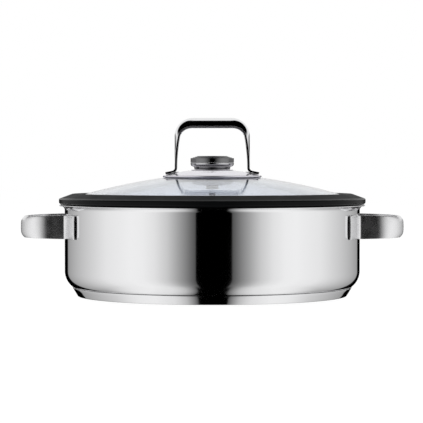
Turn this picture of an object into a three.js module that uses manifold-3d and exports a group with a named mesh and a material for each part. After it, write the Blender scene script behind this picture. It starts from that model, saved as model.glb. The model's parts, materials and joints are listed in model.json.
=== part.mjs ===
// Wide, low steamer pot with a domed glass lid, a lid thermometer and a perforated steaming tray.
// Millimetres, +Z up, origin at the centre of the underside. The side handles point along X.

import * as THREE from 'three';
import { mergeVertices } from 'three/addons/utils/BufferGeometryUtils.js';
import Module from 'manifold-3d';

const wasm = await Module();
wasm.setup();

// Clearances
const SEAT_GAP = 0.3; // curved, welded and sealed seats
const FACE_GAP = 0.1; // flat faces clamped or welded together

// Facets round an axis
const POT_FACETS = 44;
const PLATE_FACETS = 36;
const KNOB_FACETS = 28;
const SMALL_FACETS = 16;
const STRAP_FACETS = 4; // across a crowned strap
const BEND_STEPS = 3; // in one bend of a strap, a wire or a flare
const CORNER_STEPS = 5; // in the pot's outer corner
const GLASS_STEPS = 5; // from the hole to the rim

// Pot: one drawn sheet with a rounded bottom corner and a flared pouring rim
const POT_INNER_R = 140;
const POT_SHEET = 1;
const POT_RIM_Z = 86.9;
const CORNER_R = 18.5;
const RIM_FLARE_R = 4;
const RIM_LIP = 1;

// Base: an aluminium disc closed in by a slanted steel capsule
const CAPSULE_SHEET = 0.9;
const CORE_THICKNESS = 4.3;
const BASE_INSET = 12.5; // foot of the slant inside the pot's wall
const BASE_EDGE = 0.7;
const CAPSULE_RISE = 2.9; // seam above the drawn floor

// Side handles: loops of crowned strap
const HANDLE_REACH = 40.8; // past the wall
const HANDLE_WIDTH = 84;
const HANDLE_Z = 66.5;
const HANDLE_BAR_HEIGHT = 19.2;
const HANDLE_FOOT_HEIGHT = 22.1;
const HANDLE_BAR_CROWN = 3.4;
const HANDLE_FOOT_CROWN = 0.4;
const HANDLE_SHEET = 2;
const HANDLE_CORNER_R = 27.5;
const HANDLE_BEND_R = 3;
const HANDLE_FOOT_LENGTH = 20.8; // along the wall

// Steaming tray: a perforated floor welded into a ring on three feet
const TRAY_STAND = 22; // ring above the pot's floor
const TRAY_SHEET = 1;
const TRAY_CLEARANCE = 3; // rim to the pot's wall
const TRAY_RIM_LIP = 2.5;
const TRAY_WALL_HEIGHT = 22;
const TRAY_WALL_LEAN = 4.5;
const TRAY_FLOOR_INSET = 2.5; // floor's edge inside the ring's corner
const FOOT_COUNT = 3;
const FOOT_TOP_R = 6;
const FOOT_BOTTOM_R = 4.5;
const FOOT_EDGE = 1;
const FOOT_INSET = 6; // foot's edge inside the pot's flat floor
const FLANGE_MARGIN = 2;
const HOLE_R = 4.5;
const HOLE_PITCH = 28;
const HOLE_RINGS = 3;
const HOLES_PER_RING = 6;
const HOLE_FACETS = 6;

// Tray bails: wire loops that lie flat on the floor and swing up
const BAIL_WIRE_R = 1.75;
const BAIL_WIDTH = 70;
const BAIL_LENGTH = 36;
const BAIL_INSET = 18.5; // hinge line inside the floor's edge
const BAIL_CORNER_R = 10;
const BAIL_END_BEND_R = 4;
const BAIL_STUB = 3; // past the saddle
const BAIL_STEPS = 24;
const SADDLE_LENGTH = 6;
const SADDLE_SHEET = 1;
const SADDLE_FOOT = 4;
const SADDLE_CLEARANCE = 0.5; // along the wire

// Lid glass and its silicone rim. Lid heights count from the rim's underside.
const GLASS_CLEARANCE = 6; // edge inside the pot's wall
const GLASS_THICKNESS = 4;
const GLASS_CURVE_R = 600;
const GLASS_CURVE_OFFSET = 38; // centre of the curve beyond the axis
const GLASS_EDGE_Z = 6.35;
const SEAL_OVERHANG = 0.5; // past the pot's lip
const SEAL_GRIP = 9.4; // over the glass
const SEAL_LIP_THICKNESS = 0.9;
const SEAL_SLOPE = 12.9; // width of the sloping shoulder
const SEAL_SIDE_BOTTOM = 1.8;
const SEAL_SIDE_TOP = 5;
const SEAL_EDGE_R = 1.2;
const SEAL_LOWER_GRIP = 5; // under the glass
const SEAL_LOWER_LIP_THICKNESS = 2;
const SKIRT_CLEARANCE = 1.6; // to the pot's wall
const SKIRT_THICKNESS = 3;
const SKIRT_DEPTH = 4.7;

// Lid plate: a satin saucer on a thin gasket
const PLATE_R = 47.2;
const PLATE_LAND_R = 23;
const PLATE_SHEET = 0.9;
const PLATE_RISE = 5;
const PLATE_CROWN = 0.42; // share of the fall that is curved
const PLATE_STEPS = 3;
const GASKET_THICKNESS = 0.8;
const GASKET_WIDTH = 6;

// Lid handle: an arch of strap, flat at its feet and crowned along its grip
const ARCH_WIDTH = 71.9;
const ARCH_HEIGHT = 50.2; // above the plate's land
const ARCH_STRAP = 20;
const ARCH_SHEET = 2.2;
const ARCH_CROWN = 7.8;
const ARCH_CORNER_R = 19;
const ARCH_BEND_R = 4;
const ARCH_TOE_R = 44.8;
const PAD_THICKNESS = 0.8;
const PAD_LENGTH = 13;
const PAD_WIDTH = 23;
const PAD_FACETS = 9; // in half an oval

// Thermometer. Its heights count from the plate's land.
const WASHER_R = 20;
const WASHER_THICKNESS = 0.5;
const NECK_R = 17.5;
const NECK_HEIGHT = 2.8;
const KNOB_R = 20.75;
const CASE_FLARE = 3.6; // rounded outwards from the neck
const CASE_FLARE_STEPS = 3;
const CASE_RIM = 0.3;
const CASE_WALL = 1.3;
const SPIGOT_R = 6;
const SPIGOT_DEPTH = 18;
const BEZEL_HEIGHT = 4.8;
const BEZEL_EDGE = 1.3;
const BEZEL_WALL = 2.1;
const BEZEL_SHOULDER = 7.2; // from the knob's side to the lens
const BEZEL_LEDGE = 1.2;
const BEZEL_LEDGE_THICKNESS = 0.8;
const LENS_THICKNESS = 1.4;
const DOME_CURVE_R = 103;
const LENS_STEPS = 2;
const DIAL_THICKNESS = 0.5;
const SHAFT_R = 0.5;
const POINTER_LENGTH = 11;
const POINTER_TAIL = 4;
const POINTER_HALF_WIDTH = 1;
const POINTER_THICKNESS = 0.4;
const POINTER_LIFT = 1.2; // above the dial
const HUB_R = 2;
const STEM_R = 3;
const STEM_TIP_R = 2.1;
const STEM_BORE_R = 1.5;
const STEM_DEPTH = 35;
const STEM_TAPER = 10;
const STEM_TIP = 3;
const STEM_POINT_R = 1.3; // chamfer at the tip
const STEM_POINT = 0.6;
const COIL_WIRE_R = 0.15;
const COIL_TURNS = 6;
const COIL_PITCH = 2.4;
const COIL_STEPS = 7; // in a turn
const COIL_SIDES = 5;

// What clamps the thermometer through the glass
const UPPER_SEAL_R = 16;
const GROMMET_WALL = 1.9;
const LOWER_SEAL_R = 13;
const LOWER_SEAL_THICKNESS = 1.5;
const LID_WASHER_R = 12;
const LID_WASHER_THICKNESS = 1;
const NUT_FLATS = 17;
const NUT_THICKNESS = 4.7;
const NUT_SIDES = 6;

// Sizes worked out from the ones above
const POT_OUTER_R = POT_INNER_R + POT_SHEET;
const FLOOR_Z = CAPSULE_SHEET + FACE_GAP + CORE_THICKNESS + FACE_GAP;
const FLOOR_TOP_Z = FLOOR_Z + POT_SHEET;
const CORNER_CENTRE_R = POT_OUTER_R - CORNER_R;
const CORNER_CENTRE_Z = FLOOR_Z + CORNER_R;
const FLARE_CENTRE_R = POT_OUTER_R + RIM_FLARE_R;
const FLARE_CENTRE_Z = POT_RIM_Z - POT_SHEET - RIM_FLARE_R;
const RIM_R = FLARE_CENTRE_R + RIM_LIP;
const SEAM_Z = FLOOR_Z + CAPSULE_RISE;
const BASE_R = POT_OUTER_R - BASE_INSET;

const TRAY_Z = FLOOR_TOP_Z + TRAY_STAND;
const TRAY_RIM_R = POT_INNER_R - TRAY_CLEARANCE;
const TRAY_WALL_TOP_R = TRAY_RIM_R - TRAY_RIM_LIP;
const TRAY_BOTTOM_R = TRAY_WALL_TOP_R - TRAY_WALL_LEAN;
const TRAY_FLOOR_R = TRAY_BOTTOM_R - TRAY_SHEET - TRAY_FLOOR_INSET;
const TRAY_FLOOR_TOP = TRAY_SHEET + FACE_GAP + TRAY_SHEET;
const FOOT_PITCH_R = CORNER_CENTRE_R - FOOT_INSET - FOOT_BOTTOM_R;
const FLANGE_R = FOOT_PITCH_R - FOOT_TOP_R - FLANGE_MARGIN;
const BAIL_X = TRAY_FLOOR_R - BAIL_INSET;
const BAIL_Z = TRAY_FLOOR_TOP + SEAT_GAP + BAIL_WIRE_R;

const LID_Z = POT_RIM_Z + SEAT_GAP;
const GLASS_R = POT_INNER_R - GLASS_CLEARANCE;
const SEAL_OUTER_R = RIM_R + SEAL_OVERHANG;
const SEAL_SHOULDER_R = SEAL_OUTER_R - SEAL_SLOPE;
const SEAL_LIP_R = GLASS_R - SEAL_GRIP;
const SEAL_LOWER_LIP_R = GLASS_R - SEAL_LOWER_GRIP;
const SPIGOT_HOLE_R = SPIGOT_R + SEAT_GAP;
const GROMMET_R = SPIGOT_HOLE_R + GROMMET_WALL;
const GLASS_HOLE_R = GROMMET_R + SEAT_GAP;
const PLATE_RIM_Z = glassTop(PLATE_R) + SEAT_GAP + GASKET_THICKNESS + FACE_GAP;
const PLATE_LAND_Z = PLATE_RIM_Z + PLATE_SHEET + PLATE_RISE;

const NECK_Z = FACE_GAP + WASHER_THICKNESS + FACE_GAP;
const CASE_TOP = NECK_Z + NECK_HEIGHT + CASE_FLARE + CASE_RIM;
const CASE_FLOOR = NECK_Z + CASE_WALL;
const CASE_CAVITY_R = NECK_R - CASE_WALL;
const DIAL_Z = CASE_TOP + FACE_GAP;
const BEZEL_INNER_R = KNOB_R - BEZEL_WALL;
const BEZEL_TOP = CASE_TOP + FACE_GAP + BEZEL_HEIGHT;
const DIAL_R = BEZEL_INNER_R - SEAT_GAP;
const LENS_SEAT_R = KNOB_R - BEZEL_SHOULDER;
const LENS_R = LENS_SEAT_R - SEAT_GAP;
const POINTER_Z = DIAL_Z + DIAL_THICKNESS + POINTER_LIFT;
const GRIP_TOP_Z = PLATE_LAND_Z + ARCH_HEIGHT;

function metal(colour, roughness) {
  return new THREE.MeshStandardMaterial({ color: colour, roughness, metalness: 1 });
}

function rubber(colour) {
  return new THREE.MeshStandardMaterial({ color: colour, roughness: 0.7, metalness: 0 });
}

const polishedSteel = metal(0xd8d9da, 0.08);
const satinSteel = metal(0xdddce2, 0.4);
const aluminium = metal(0xc2c4c6, 0.35);
const darkSteel = metal(0x4a4c50, 0.15);
const bimetal = metal(0xb08a55, 0.35);
const blackSilicone = rubber(0x1b1c1e);
const clearSilicone = rubber(0xd9d8de);
const dialWhite = new THREE.MeshStandardMaterial({ color: 0xf0f0ec, roughness: 0.6 });
const pointerBlack = new THREE.MeshStandardMaterial({ color: 0x141414, roughness: 0.5 });
const clearGlass = new THREE.MeshStandardMaterial({
  color: 0xe4ecf0,
  roughness: 0.03,
  transparent: true,
  opacity: 0.3,
});

// Merges shared corners, drops the flat triangles at poles and turns the faces outwards.
function closedBody(geometry) {
  geometry.deleteAttribute('normal');
  geometry.deleteAttribute('uv');
  const merged = mergeVertices(geometry, 1e-4);
  const corners = merged.index.array;
  const position = merged.attributes.position;
  const kept = [];
  const [a, b, c] = [new THREE.Vector3(), new THREE.Vector3(), new THREE.Vector3()];
  let volume = 0;
  for (let i = 0; i < corners.length; i += 3) {
    const [p, q, r] = [corners[i], corners[i + 1], corners[i + 2]];
    if (p !== q && q !== r && r !== p) {
      kept.push(p, q, r);
      a.fromBufferAttribute(position, p);
      b.fromBufferAttribute(position, q);
      c.fromBufferAttribute(position, r);
      volume += a.dot(b.cross(c));
    }
  }
  merged.setIndex(volume < 0 ? kept.reverse() : kept);
  merged.computeVertexNormals();
  return merged;
}

function solidOf(geometry) {
  const mesh = new wasm.Mesh({
    numProp: 3,
    vertProperties: new Float32Array(geometry.attributes.position.array),
    triVerts: new Uint32Array(geometry.index.array),
  });
  return new wasm.Manifold(mesh);
}

function geometryOf(solid) {
  const mesh = solid.getMesh();
  const geometry = new THREE.BufferGeometry();
  geometry.setAttribute('position', new THREE.BufferAttribute(mesh.vertProperties, mesh.numProp));
  geometry.setIndex(new THREE.BufferAttribute(mesh.triVerts, 1));
  return closedBody(geometry);
}

// Turns [radius, height] points about Z. The points start and end on the axis.
function revolve(points, facets) {
  const outline = points.map(([radius, height]) => new THREE.Vector2(radius, height));
  return closedBody(new THREE.LatheGeometry(outline, facets).rotateX(Math.PI / 2));
}

// Turns a closed section that stays clear of the axis.
function revolveRing(points, facets) {
  return revolve([...points, points[0]], facets);
}

function flatRing(innerR, outerR, bottom, thickness, facets) {
  const top = bottom + thickness;
  return revolveRing([[innerR, bottom], [outerR, bottom], [outerR, top], [innerR, top]], facets);
}

// Points on an arc, angles in degrees.
function arc(centreR, centreZ, radius, from, to, steps) {
  return Array.from({ length: steps + 1 }, (_, i) => {
    const angle = THREE.MathUtils.degToRad(from + ((to - from) * i) / steps);
    return [centreR + radius * Math.cos(angle), centreZ + radius * Math.sin(angle)];
  });
}

function steps(from, to, count) {
  return Array.from({ length: count + 1 }, (_, i) => from + ((to - from) * i) / count);
}

function extrude(shape, depth, curveSegments = 4) {
  return closedBody(new THREE.ExtrudeGeometry(shape, { depth, bevelEnabled: false, curveSegments }));
}

function circlePath(PathClass, x, y, radius) {
  return new PathClass().absarc(x, y, radius, 0, Math.PI * 2, false);
}

// Runs a round wire along corner points, with a bend radius at each corner between.
function bentWire(corners, bendRadii, wireR, count) {
  const path = new THREE.CurvePath();
  let from = corners[0];
  corners.slice(1, -1).forEach((corner, i) => {
    const into = corner.clone().sub(corners[i]).normalize();
    const out = corners[i + 2].clone().sub(corner).normalize();
    const before = corner.clone().addScaledVector(into, -bendRadii[i]);
    const after = corner.clone().addScaledVector(out, bendRadii[i]);
    path.add(new THREE.LineCurve3(from, before));
    path.add(new THREE.QuadraticBezierCurve3(before, corner, after));
    from = after;
  });
  path.add(new THREE.LineCurve3(from, corners.at(-1)));
  const section = circlePath(THREE.Shape, 0, 0, wireR);
  const options = { steps: count, extrudePath: path, curveSegments: BEND_STEPS, bevelEnabled: false };
  return closedBody(new THREE.ExtrudeGeometry(section, options));
}

// Skins a crowned strap. Each station gives the middle of its outer face, the way that face looks,
// the way across the strap, and its width and crown there.
function strap(stations, sheet) {
  const sideSteps = steps(-1, 1, STRAP_FACETS);
  const rings = stations.map(({ middle, outward, across, width, crown }) => {
    const at = (side, depth) => middle.clone()
      .addScaledVector(across, (side * width) / 2)
      .addScaledVector(outward, -crown * side * side - depth);
    const outer = sideSteps.map((side) => at(side, 0));
    const inner = sideSteps.map((side) => at(side, sheet)).reverse();
    return [...outer, ...inner];
  });
  const count = rings[0].length;
  const index = [];
  const quad = (a, b, c, d) => index.push(a, b, c, a, c, d);
  for (let i = 0; i + 1 < rings.length; i += 1) {
    for (let j = 0; j < count; j += 1) {
      const k = (j + 1) % count;
      quad(i * count + j, i * count + k, (i + 1) * count + k, (i + 1) * count + j);
    }
  }
  const last = (rings.length - 1) * count;
  for (let j = 0; j < STRAP_FACETS; j += 1) {
    const opposite = count - 1 - j;
    quad(opposite, opposite - 1, j + 1, j);
    quad(last + j, last + j + 1, last + opposite - 1, last + opposite);
  }
  const geometry = new THREE.BufferGeometry();
  const positions = rings.flat().flatMap((point) => point.toArray());
  geometry.setAttribute('position', new THREE.Float32BufferAttribute(positions, 3));
  geometry.setIndex(index);
  return closedBody(geometry);
}

// Points of a flat path with the unit normal on its right at each.
function pathStations(path, divisions) {
  const all = path.getPoints(divisions);
  const points = all.filter((point, i) => i === 0 || point.distanceTo(all[i - 1]) > 1e-3);
  return points.map((point, i) => {
    const before = points[Math.max(i - 1, 0)];
    const after = points[Math.min(i + 1, points.length - 1)];
    const into = point.clone().sub(before).normalize();
    const out = after.clone().sub(point).normalize();
    const along = into.add(out).normalize();
    return { point, normal: new THREE.Vector2(along.y, -along.x) };
  });
}

// Pot

function potShell() {
  const innerFlareR = RIM_FLARE_R + POT_SHEET;
  const outerCorner = arc(CORNER_CENTRE_R, CORNER_CENTRE_Z, CORNER_R, -90, 0, CORNER_STEPS);
  const outerFlare = arc(FLARE_CENTRE_R, FLARE_CENTRE_Z, RIM_FLARE_R, 180, 90, BEND_STEPS);
  const innerFlare = arc(FLARE_CENTRE_R, FLARE_CENTRE_Z, innerFlareR, 90, 180, BEND_STEPS);
  const innerCorner = arc(CORNER_CENTRE_R, CORNER_CENTRE_Z, CORNER_R - POT_SHEET, 0, -90, BEND_STEPS);
  return revolve([
    [0, FLOOR_Z],
    ...outerCorner,
    ...outerFlare,
    [RIM_R, POT_RIM_Z - POT_SHEET],
    [RIM_R, POT_RIM_Z],
    ...innerFlare,
    ...innerCorner,
    [0, FLOOR_TOP_Z],
  ], POT_FACETS);
}

// Outside radius of the drawn corner at a height.
function cornerRadiusAt(z) {
  const drop = CORNER_CENTRE_Z - z;
  return CORNER_CENTRE_R + Math.sqrt(CORNER_R * CORNER_R - drop * drop);
}

function capsuleSlope() {
  const seamR = cornerRadiusAt(SEAM_Z) + SEAT_GAP + CAPSULE_SHEET;
  return (seamR - BASE_R) / SEAM_Z;
}

function baseCapsule() {
  const slope = capsuleSlope();
  const outerR = (z) => BASE_R + slope * z;
  const innerR = (z) => outerR(z) - CAPSULE_SHEET * Math.hypot(1, slope);
  return revolve([
    [0, 0],
    [BASE_R - BASE_EDGE, 0],
    [outerR(BASE_EDGE), BASE_EDGE],
    [outerR(SEAM_Z), SEAM_Z],
    [cornerRadiusAt(SEAM_Z) + SEAT_GAP, SEAM_Z],
    [innerR(FLOOR_Z), FLOOR_Z],
    [innerR(CAPSULE_SHEET), CAPSULE_SHEET],
    [0, CAPSULE_SHEET],
  ], POT_FACETS);
}

function baseCore() {
  const slope = capsuleSlope();
  const clear = CAPSULE_SHEET * Math.hypot(1, slope) + SEAT_GAP;
  const bottom = CAPSULE_SHEET + FACE_GAP;
  const top = bottom + CORE_THICKNESS;
  return revolve([
    [0, bottom],
    [BASE_R + slope * bottom - clear, bottom],
    [BASE_R + slope * top - clear, top],
    [0, top],
  ], POT_FACETS);
}

function sideHandle() {
  const footR = POT_OUTER_R + SEAT_GAP + HANDLE_SHEET + HANDLE_FOOT_CROWN;
  const reachX = POT_OUTER_R + HANDLE_REACH;
  const armY = HANDLE_WIDTH / 2;
  const bendY = armY + HANDLE_BEND_R;
  const bendX = Math.sqrt((footR + HANDLE_BEND_R) ** 2 - bendY * bendY);
  const bendAngle = Math.atan2(bendY, bendX);
  const toeAngle = bendAngle + HANDLE_FOOT_LENGTH / footR;
  const cornerX = reachX - HANDLE_CORNER_R;
  const cornerY = armY - HANDLE_CORNER_R;
  const quarter = Math.PI / 2;
  const plan = new THREE.Path();
  plan.absarc(0, 0, footR, -toeAngle, -bendAngle, false);
  plan.absarc(bendX, -bendY, HANDLE_BEND_R, Math.PI - bendAngle, quarter, true);
  plan.absarc(cornerX, -cornerY, HANDLE_CORNER_R, -quarter, 0, false);
  plan.absarc(cornerX, cornerY, HANDLE_CORNER_R, 0, quarter, false);
  plan.absarc(bendX, bendY, HANDLE_BEND_R, -quarter, bendAngle - Math.PI, true);
  plan.absarc(0, 0, footR, bendAngle, toeAngle, false);
  const stations = pathStations(plan, BEND_STEPS).map(({ point, normal }) => {
    const share = THREE.MathUtils.clamp((point.x - footR) / (reachX - footR), 0, 1);
    const armShare = THREE.MathUtils.clamp((point.x - bendX) / (cornerX - bendX), 0, 1);
    return {
      middle: new THREE.Vector3(point.x, point.y, HANDLE_Z),
      outward: new THREE.Vector3(normal.x, normal.y, 0),
      across: new THREE.Vector3(0, 0, 1),
      width: THREE.MathUtils.lerp(HANDLE_FOOT_HEIGHT, HANDLE_BAR_HEIGHT, share),
      crown: THREE.MathUtils.lerp(HANDLE_FOOT_CROWN, HANDLE_BAR_CROWN, armShare),
    };
  });
  return strap(stations, HANDLE_SHEET);
}

// Steaming tray, with heights from the underside of its ring

function trayWall() {
  const rimTop = TRAY_WALL_HEIGHT + TRAY_SHEET;
  return revolveRing([
    [FLANGE_R, 0],
    [TRAY_BOTTOM_R, 0],
    [TRAY_WALL_TOP_R, TRAY_WALL_HEIGHT],
    [TRAY_RIM_R, TRAY_WALL_HEIGHT],
    [TRAY_RIM_R, rimTop],
    [TRAY_WALL_TOP_R - TRAY_SHEET, rimTop],
    [TRAY_BOTTOM_R - TRAY_SHEET, TRAY_SHEET],
    [FLANGE_R, TRAY_SHEET],
  ], POT_FACETS);
}

function trayFloor() {
  const floor = new THREE.Shape();
  floor.setFromPoints(circlePath(THREE.Path, 0, 0, TRAY_FLOOR_R).getPoints(POT_FACETS / 2));
  const addHole = (x, y) => {
    const points = circlePath(THREE.Path, x, y, HOLE_R).getPoints(HOLE_FACETS / 2);
    floor.holes.push(new THREE.Path().setFromPoints(points.slice(0, HOLE_FACETS)));
  };
  addHole(0, 0);
  for (let ring = 1; ring <= HOLE_RINGS; ring += 1) {
    const count = ring * HOLES_PER_RING;
    for (let i = 0; i < count; i += 1) {
      const angle = (i / count) * Math.PI * 2;
      addHole(ring * HOLE_PITCH * Math.cos(angle), ring * HOLE_PITCH * Math.sin(angle));
    }
  }
  return extrude(floor, TRAY_SHEET);
}

function trayFoot() {
  const length = TRAY_STAND - SEAT_GAP - FACE_GAP;
  return revolve([
    [0, 0],
    [FOOT_BOTTOM_R - FOOT_EDGE, 0],
    [FOOT_BOTTOM_R, FOOT_EDGE],
    [FOOT_TOP_R, length],
    [0, length],
  ], SMALL_FACETS);
}

// A pressed clip that holds a bail's end down on the floor.
function saddle() {
  const boreR = BAIL_WIRE_R + SEAT_GAP;
  const archR = boreR + SADDLE_SHEET;
  const footX = archR + SADDLE_FOOT;
  const centre = boreR;
  const shape = new THREE.Shape();
  shape.moveTo(-footX, 0);
  shape.lineTo(-boreR, 0);
  shape.absarc(0, centre, boreR, Math.PI, 0, true);
  shape.lineTo(boreR, 0);
  shape.lineTo(footX, 0);
  shape.lineTo(footX, SADDLE_SHEET);
  shape.lineTo(archR, SADDLE_SHEET);
  shape.absarc(0, centre, archR, 0, Math.PI, false);
  shape.lineTo(-archR, SADDLE_SHEET);
  shape.lineTo(-footX, SADDLE_SHEET);
  return extrude(shape, SADDLE_LENGTH, BEND_STEPS).rotateX(Math.PI / 2).translate(0, SADDLE_LENGTH / 2, 0);
}

function saddleOffsetY() {
  return BAIL_WIDTH / 2 + BAIL_END_BEND_R + SADDLE_CLEARANCE + SADDLE_LENGTH / 2;
}

// A bail lies inwards from its hinge line, which runs along Y.
function bail() {
  const halfWidth = BAIL_WIDTH / 2;
  const endY = saddleOffsetY() + SADDLE_LENGTH / 2 + BAIL_STUB;
  const corners = [
    [0, -endY],
    [0, -halfWidth],
    [-BAIL_LENGTH, -halfWidth],
    [-BAIL_LENGTH, halfWidth],
    [0, halfWidth],
    [0, endY],
  ].map(([x, y]) => new THREE.Vector3(x, y, 0));
  const bends = [BAIL_END_BEND_R, BAIL_CORNER_R, BAIL_CORNER_R, BAIL_END_BEND_R];
  return bentWire(corners, bends, BAIL_WIRE_R, BAIL_STEPS);
}

// Lid, with heights from the underside of its silicone rim

// The upper face is an arc whose centre lies beyond the axis, so the glass rises almost like a cone.
function glassTop(radius) {
  const heightAt = (r) => Math.sqrt(GLASS_CURVE_R ** 2 - (r + GLASS_CURVE_OFFSET) ** 2);
  return GLASS_EDGE_Z + heightAt(radius) - heightAt(GLASS_R);
}

function glassBottom(radius) {
  return glassTop(radius) - GLASS_THICKNESS;
}

function lidGlass() {
  const radii = steps(GLASS_HOLE_R, GLASS_R, GLASS_STEPS);
  const top = radii.map((radius) => [radius, glassTop(radius)]);
  const bottom = radii.map((radius) => [radius, glassBottom(radius)]);
  return revolveRing([...bottom, ...top.reverse()], POT_FACETS);
}

function lidSeal() {
  const skirtR = POT_INNER_R - SKIRT_CLEARANCE;
  const skirtInnerR = skirtR - SKIRT_THICKNESS;
  const grooveR = GLASS_R + SEAT_GAP;
  const top = glassTop(SEAL_LIP_R) + SEAT_GAP + SEAL_LIP_THICKNESS;
  const lowerLip = glassBottom(SEAL_LOWER_LIP_R) - SEAT_GAP;
  return revolveRing([
    [skirtInnerR, -SKIRT_DEPTH],
    [skirtR - SEAL_EDGE_R / 2, -SKIRT_DEPTH],
    [skirtR, -SKIRT_DEPTH + SEAL_EDGE_R],
    [skirtR, 0],
    [SEAL_OUTER_R - SEAL_SIDE_BOTTOM, 0],
    [SEAL_OUTER_R, SEAL_SIDE_BOTTOM],
    [SEAL_OUTER_R, SEAL_SIDE_TOP],
    [SEAL_OUTER_R - SEAL_EDGE_R / 2, SEAL_SIDE_TOP + SEAL_EDGE_R],
    [SEAL_SHOULDER_R, top],
    [SEAL_LIP_R + SEAL_EDGE_R, top],
    [SEAL_LIP_R, top - SEAL_EDGE_R / 2],
    [SEAL_LIP_R, glassTop(SEAL_LIP_R) + SEAT_GAP],
    [grooveR, glassTop(grooveR) + SEAT_GAP],
    [grooveR, glassBottom(grooveR) - SEAT_GAP],
    [SEAL_LOWER_LIP_R, lowerLip],
    [SEAL_LOWER_LIP_R, lowerLip - SEAL_LOWER_LIP_THICKNESS],
    [skirtInnerR, -SEAL_EDGE_R],
  ], POT_FACETS);
}

// Top of the saucer: flat on its land, then falling in a curve to its rim.
function plateTop(radius) {
  const run = Math.max(radius - PLATE_LAND_R, 0) / (PLATE_R - PLATE_LAND_R);
  return PLATE_LAND_Z - PLATE_RISE * run * (1 - PLATE_CROWN + PLATE_CROWN * run);
}

function lidPlate() {
  const radii = [SPIGOT_HOLE_R, ...steps(PLATE_LAND_R, PLATE_R, PLATE_STEPS)];
  const top = radii.map((radius) => [radius, plateTop(radius)]);
  const bottom = radii.map((radius) => [radius, plateTop(radius) - PLATE_SHEET]);
  return revolveRing([...bottom, ...top.reverse()], PLATE_FACETS);
}

function lidPlateGasket() {
  const innerR = PLATE_R - GASKET_WIDTH;
  const plateUnderside = (radius) => plateTop(radius) - PLATE_SHEET;
  return revolveRing([
    [innerR, glassTop(innerR) + SEAT_GAP],
    [PLATE_R, glassTop(PLATE_R) + SEAT_GAP],
    [PLATE_R, plateUnderside(PLATE_R) - FACE_GAP],
    [innerR, plateUnderside(innerR) - FACE_GAP],
  ], PLATE_FACETS);
}

// An oval pad that follows the saucer under one end of the arch.
function archPad(side) {
  const legR = ARCH_WIDTH / 2;
  const padX = ARCH_TOE_R - PAD_LENGTH / 2;
  const radii = steps(padX - PAD_LENGTH, PLATE_R, PLATE_STEPS + 2);
  const bottom = radii.map((radius) => [radius, plateTop(radius) + SEAT_GAP]);
  const top = radii.map((radius) => [radius, plateTop(radius) + SEAT_GAP + PAD_THICKNESS]);
  const layer = solidOf(revolveRing([...bottom, ...top.reverse()], PLATE_FACETS));
  const oval = new THREE.Shape();
  oval.absellipse(side * padX, 0, PAD_LENGTH / 2, PAD_WIDTH / 2, 0, Math.PI * 2, false, 0);
  const cutter = solidOf(extrude(oval, 2 * legR, PAD_FACETS).translate(0, 0, PLATE_RIM_Z - legR / 2));
  return layer.intersect(cutter);
}

function lidHandle() {
  const legX = ARCH_WIDTH / 2;
  const footX = ARCH_TOE_R - PAD_LENGTH / 2;
  const slopeStep = 0.01;
  const fall = (plateTop(footX) - plateTop(footX + slopeStep)) / slopeStep;
  const lift = (SEAT_GAP + ARCH_SHEET) * Math.hypot(1, fall);
  const footLine = (x) => plateTop(footX) + lift - fall * (x - footX);
  const bendX = legX + ARCH_BEND_R;
  const bendZ = footLine(bendX) + ARCH_BEND_R * Math.hypot(1, fall);
  const footAngle = -Math.PI / 2 - Math.atan(fall);
  const cornerX = legX - ARCH_CORNER_R;
  const cornerZ = GRIP_TOP_Z - ARCH_CORNER_R;
  const front = new THREE.Path();
  front.moveTo(ARCH_TOE_R, footLine(ARCH_TOE_R));
  front.absarc(bendX, bendZ, ARCH_BEND_R, footAngle, -Math.PI, true);
  front.lineTo(legX, bendZ + (cornerZ - bendZ) / 3);
  front.lineTo(legX, bendZ + ((cornerZ - bendZ) * 2) / 3);
  front.absarc(cornerX, cornerZ, ARCH_CORNER_R, 0, Math.PI / 2, false);
  front.lineTo(0, GRIP_TOP_Z);
  const half = pathStations(front, BEND_STEPS);
  half.at(-1).normal.set(0, 1);
  const mirrored = half.slice(0, -1).reverse().map(({ point, normal }) => ({
    point: new THREE.Vector2(-point.x, point.y),
    normal: new THREE.Vector2(-normal.x, normal.y),
  }));
  const stations = [...half, ...mirrored].map(({ point, normal }) => {
    const share = THREE.MathUtils.clamp((point.y - bendZ) / (GRIP_TOP_Z - bendZ), 0, 1);
    return {
      middle: new THREE.Vector3(point.x, 0, point.y),
      outward: new THREE.Vector3(normal.x, 0, normal.y),
      across: new THREE.Vector3(0, 1, 0),
      width: ARCH_STRAP,
      crown: ARCH_CROWN * share * share,
    };
  });
  const arch = solidOf(strap(stations, ARCH_SHEET));
  return geometryOf(arch.add(archPad(1)).add(archPad(-1)));
}

// Thermometer, with heights from the plate's land

function thermometerCase() {
  const flare = steps(0, Math.PI / 2, CASE_FLARE_STEPS).map((angle) => [
    NECK_R + (KNOB_R - NECK_R) * Math.sin(angle),
    NECK_Z + NECK_HEIGHT + CASE_FLARE * (1 - Math.cos(angle)),
  ]);
  return revolveRing([
    [STEM_R + SEAT_GAP, -SPIGOT_DEPTH],
    [SPIGOT_R, -SPIGOT_DEPTH],
    [SPIGOT_R, NECK_Z],
    [NECK_R, NECK_Z],
    ...flare,
    [KNOB_R, CASE_TOP],
    [CASE_CAVITY_R, CASE_TOP],
    [CASE_CAVITY_R, CASE_FLOOR],
    [STEM_R + SEAT_GAP, CASE_FLOOR],
  ], KNOB_FACETS);
}

// The shoulder and the lens share one low dome.
function domeTop(radius) {
  return BEZEL_TOP + domeDrop(BEZEL_INNER_R) - domeDrop(radius);
}

function domeDrop(radius) {
  return DOME_CURVE_R - Math.sqrt(DOME_CURVE_R ** 2 - radius * radius);
}

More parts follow.
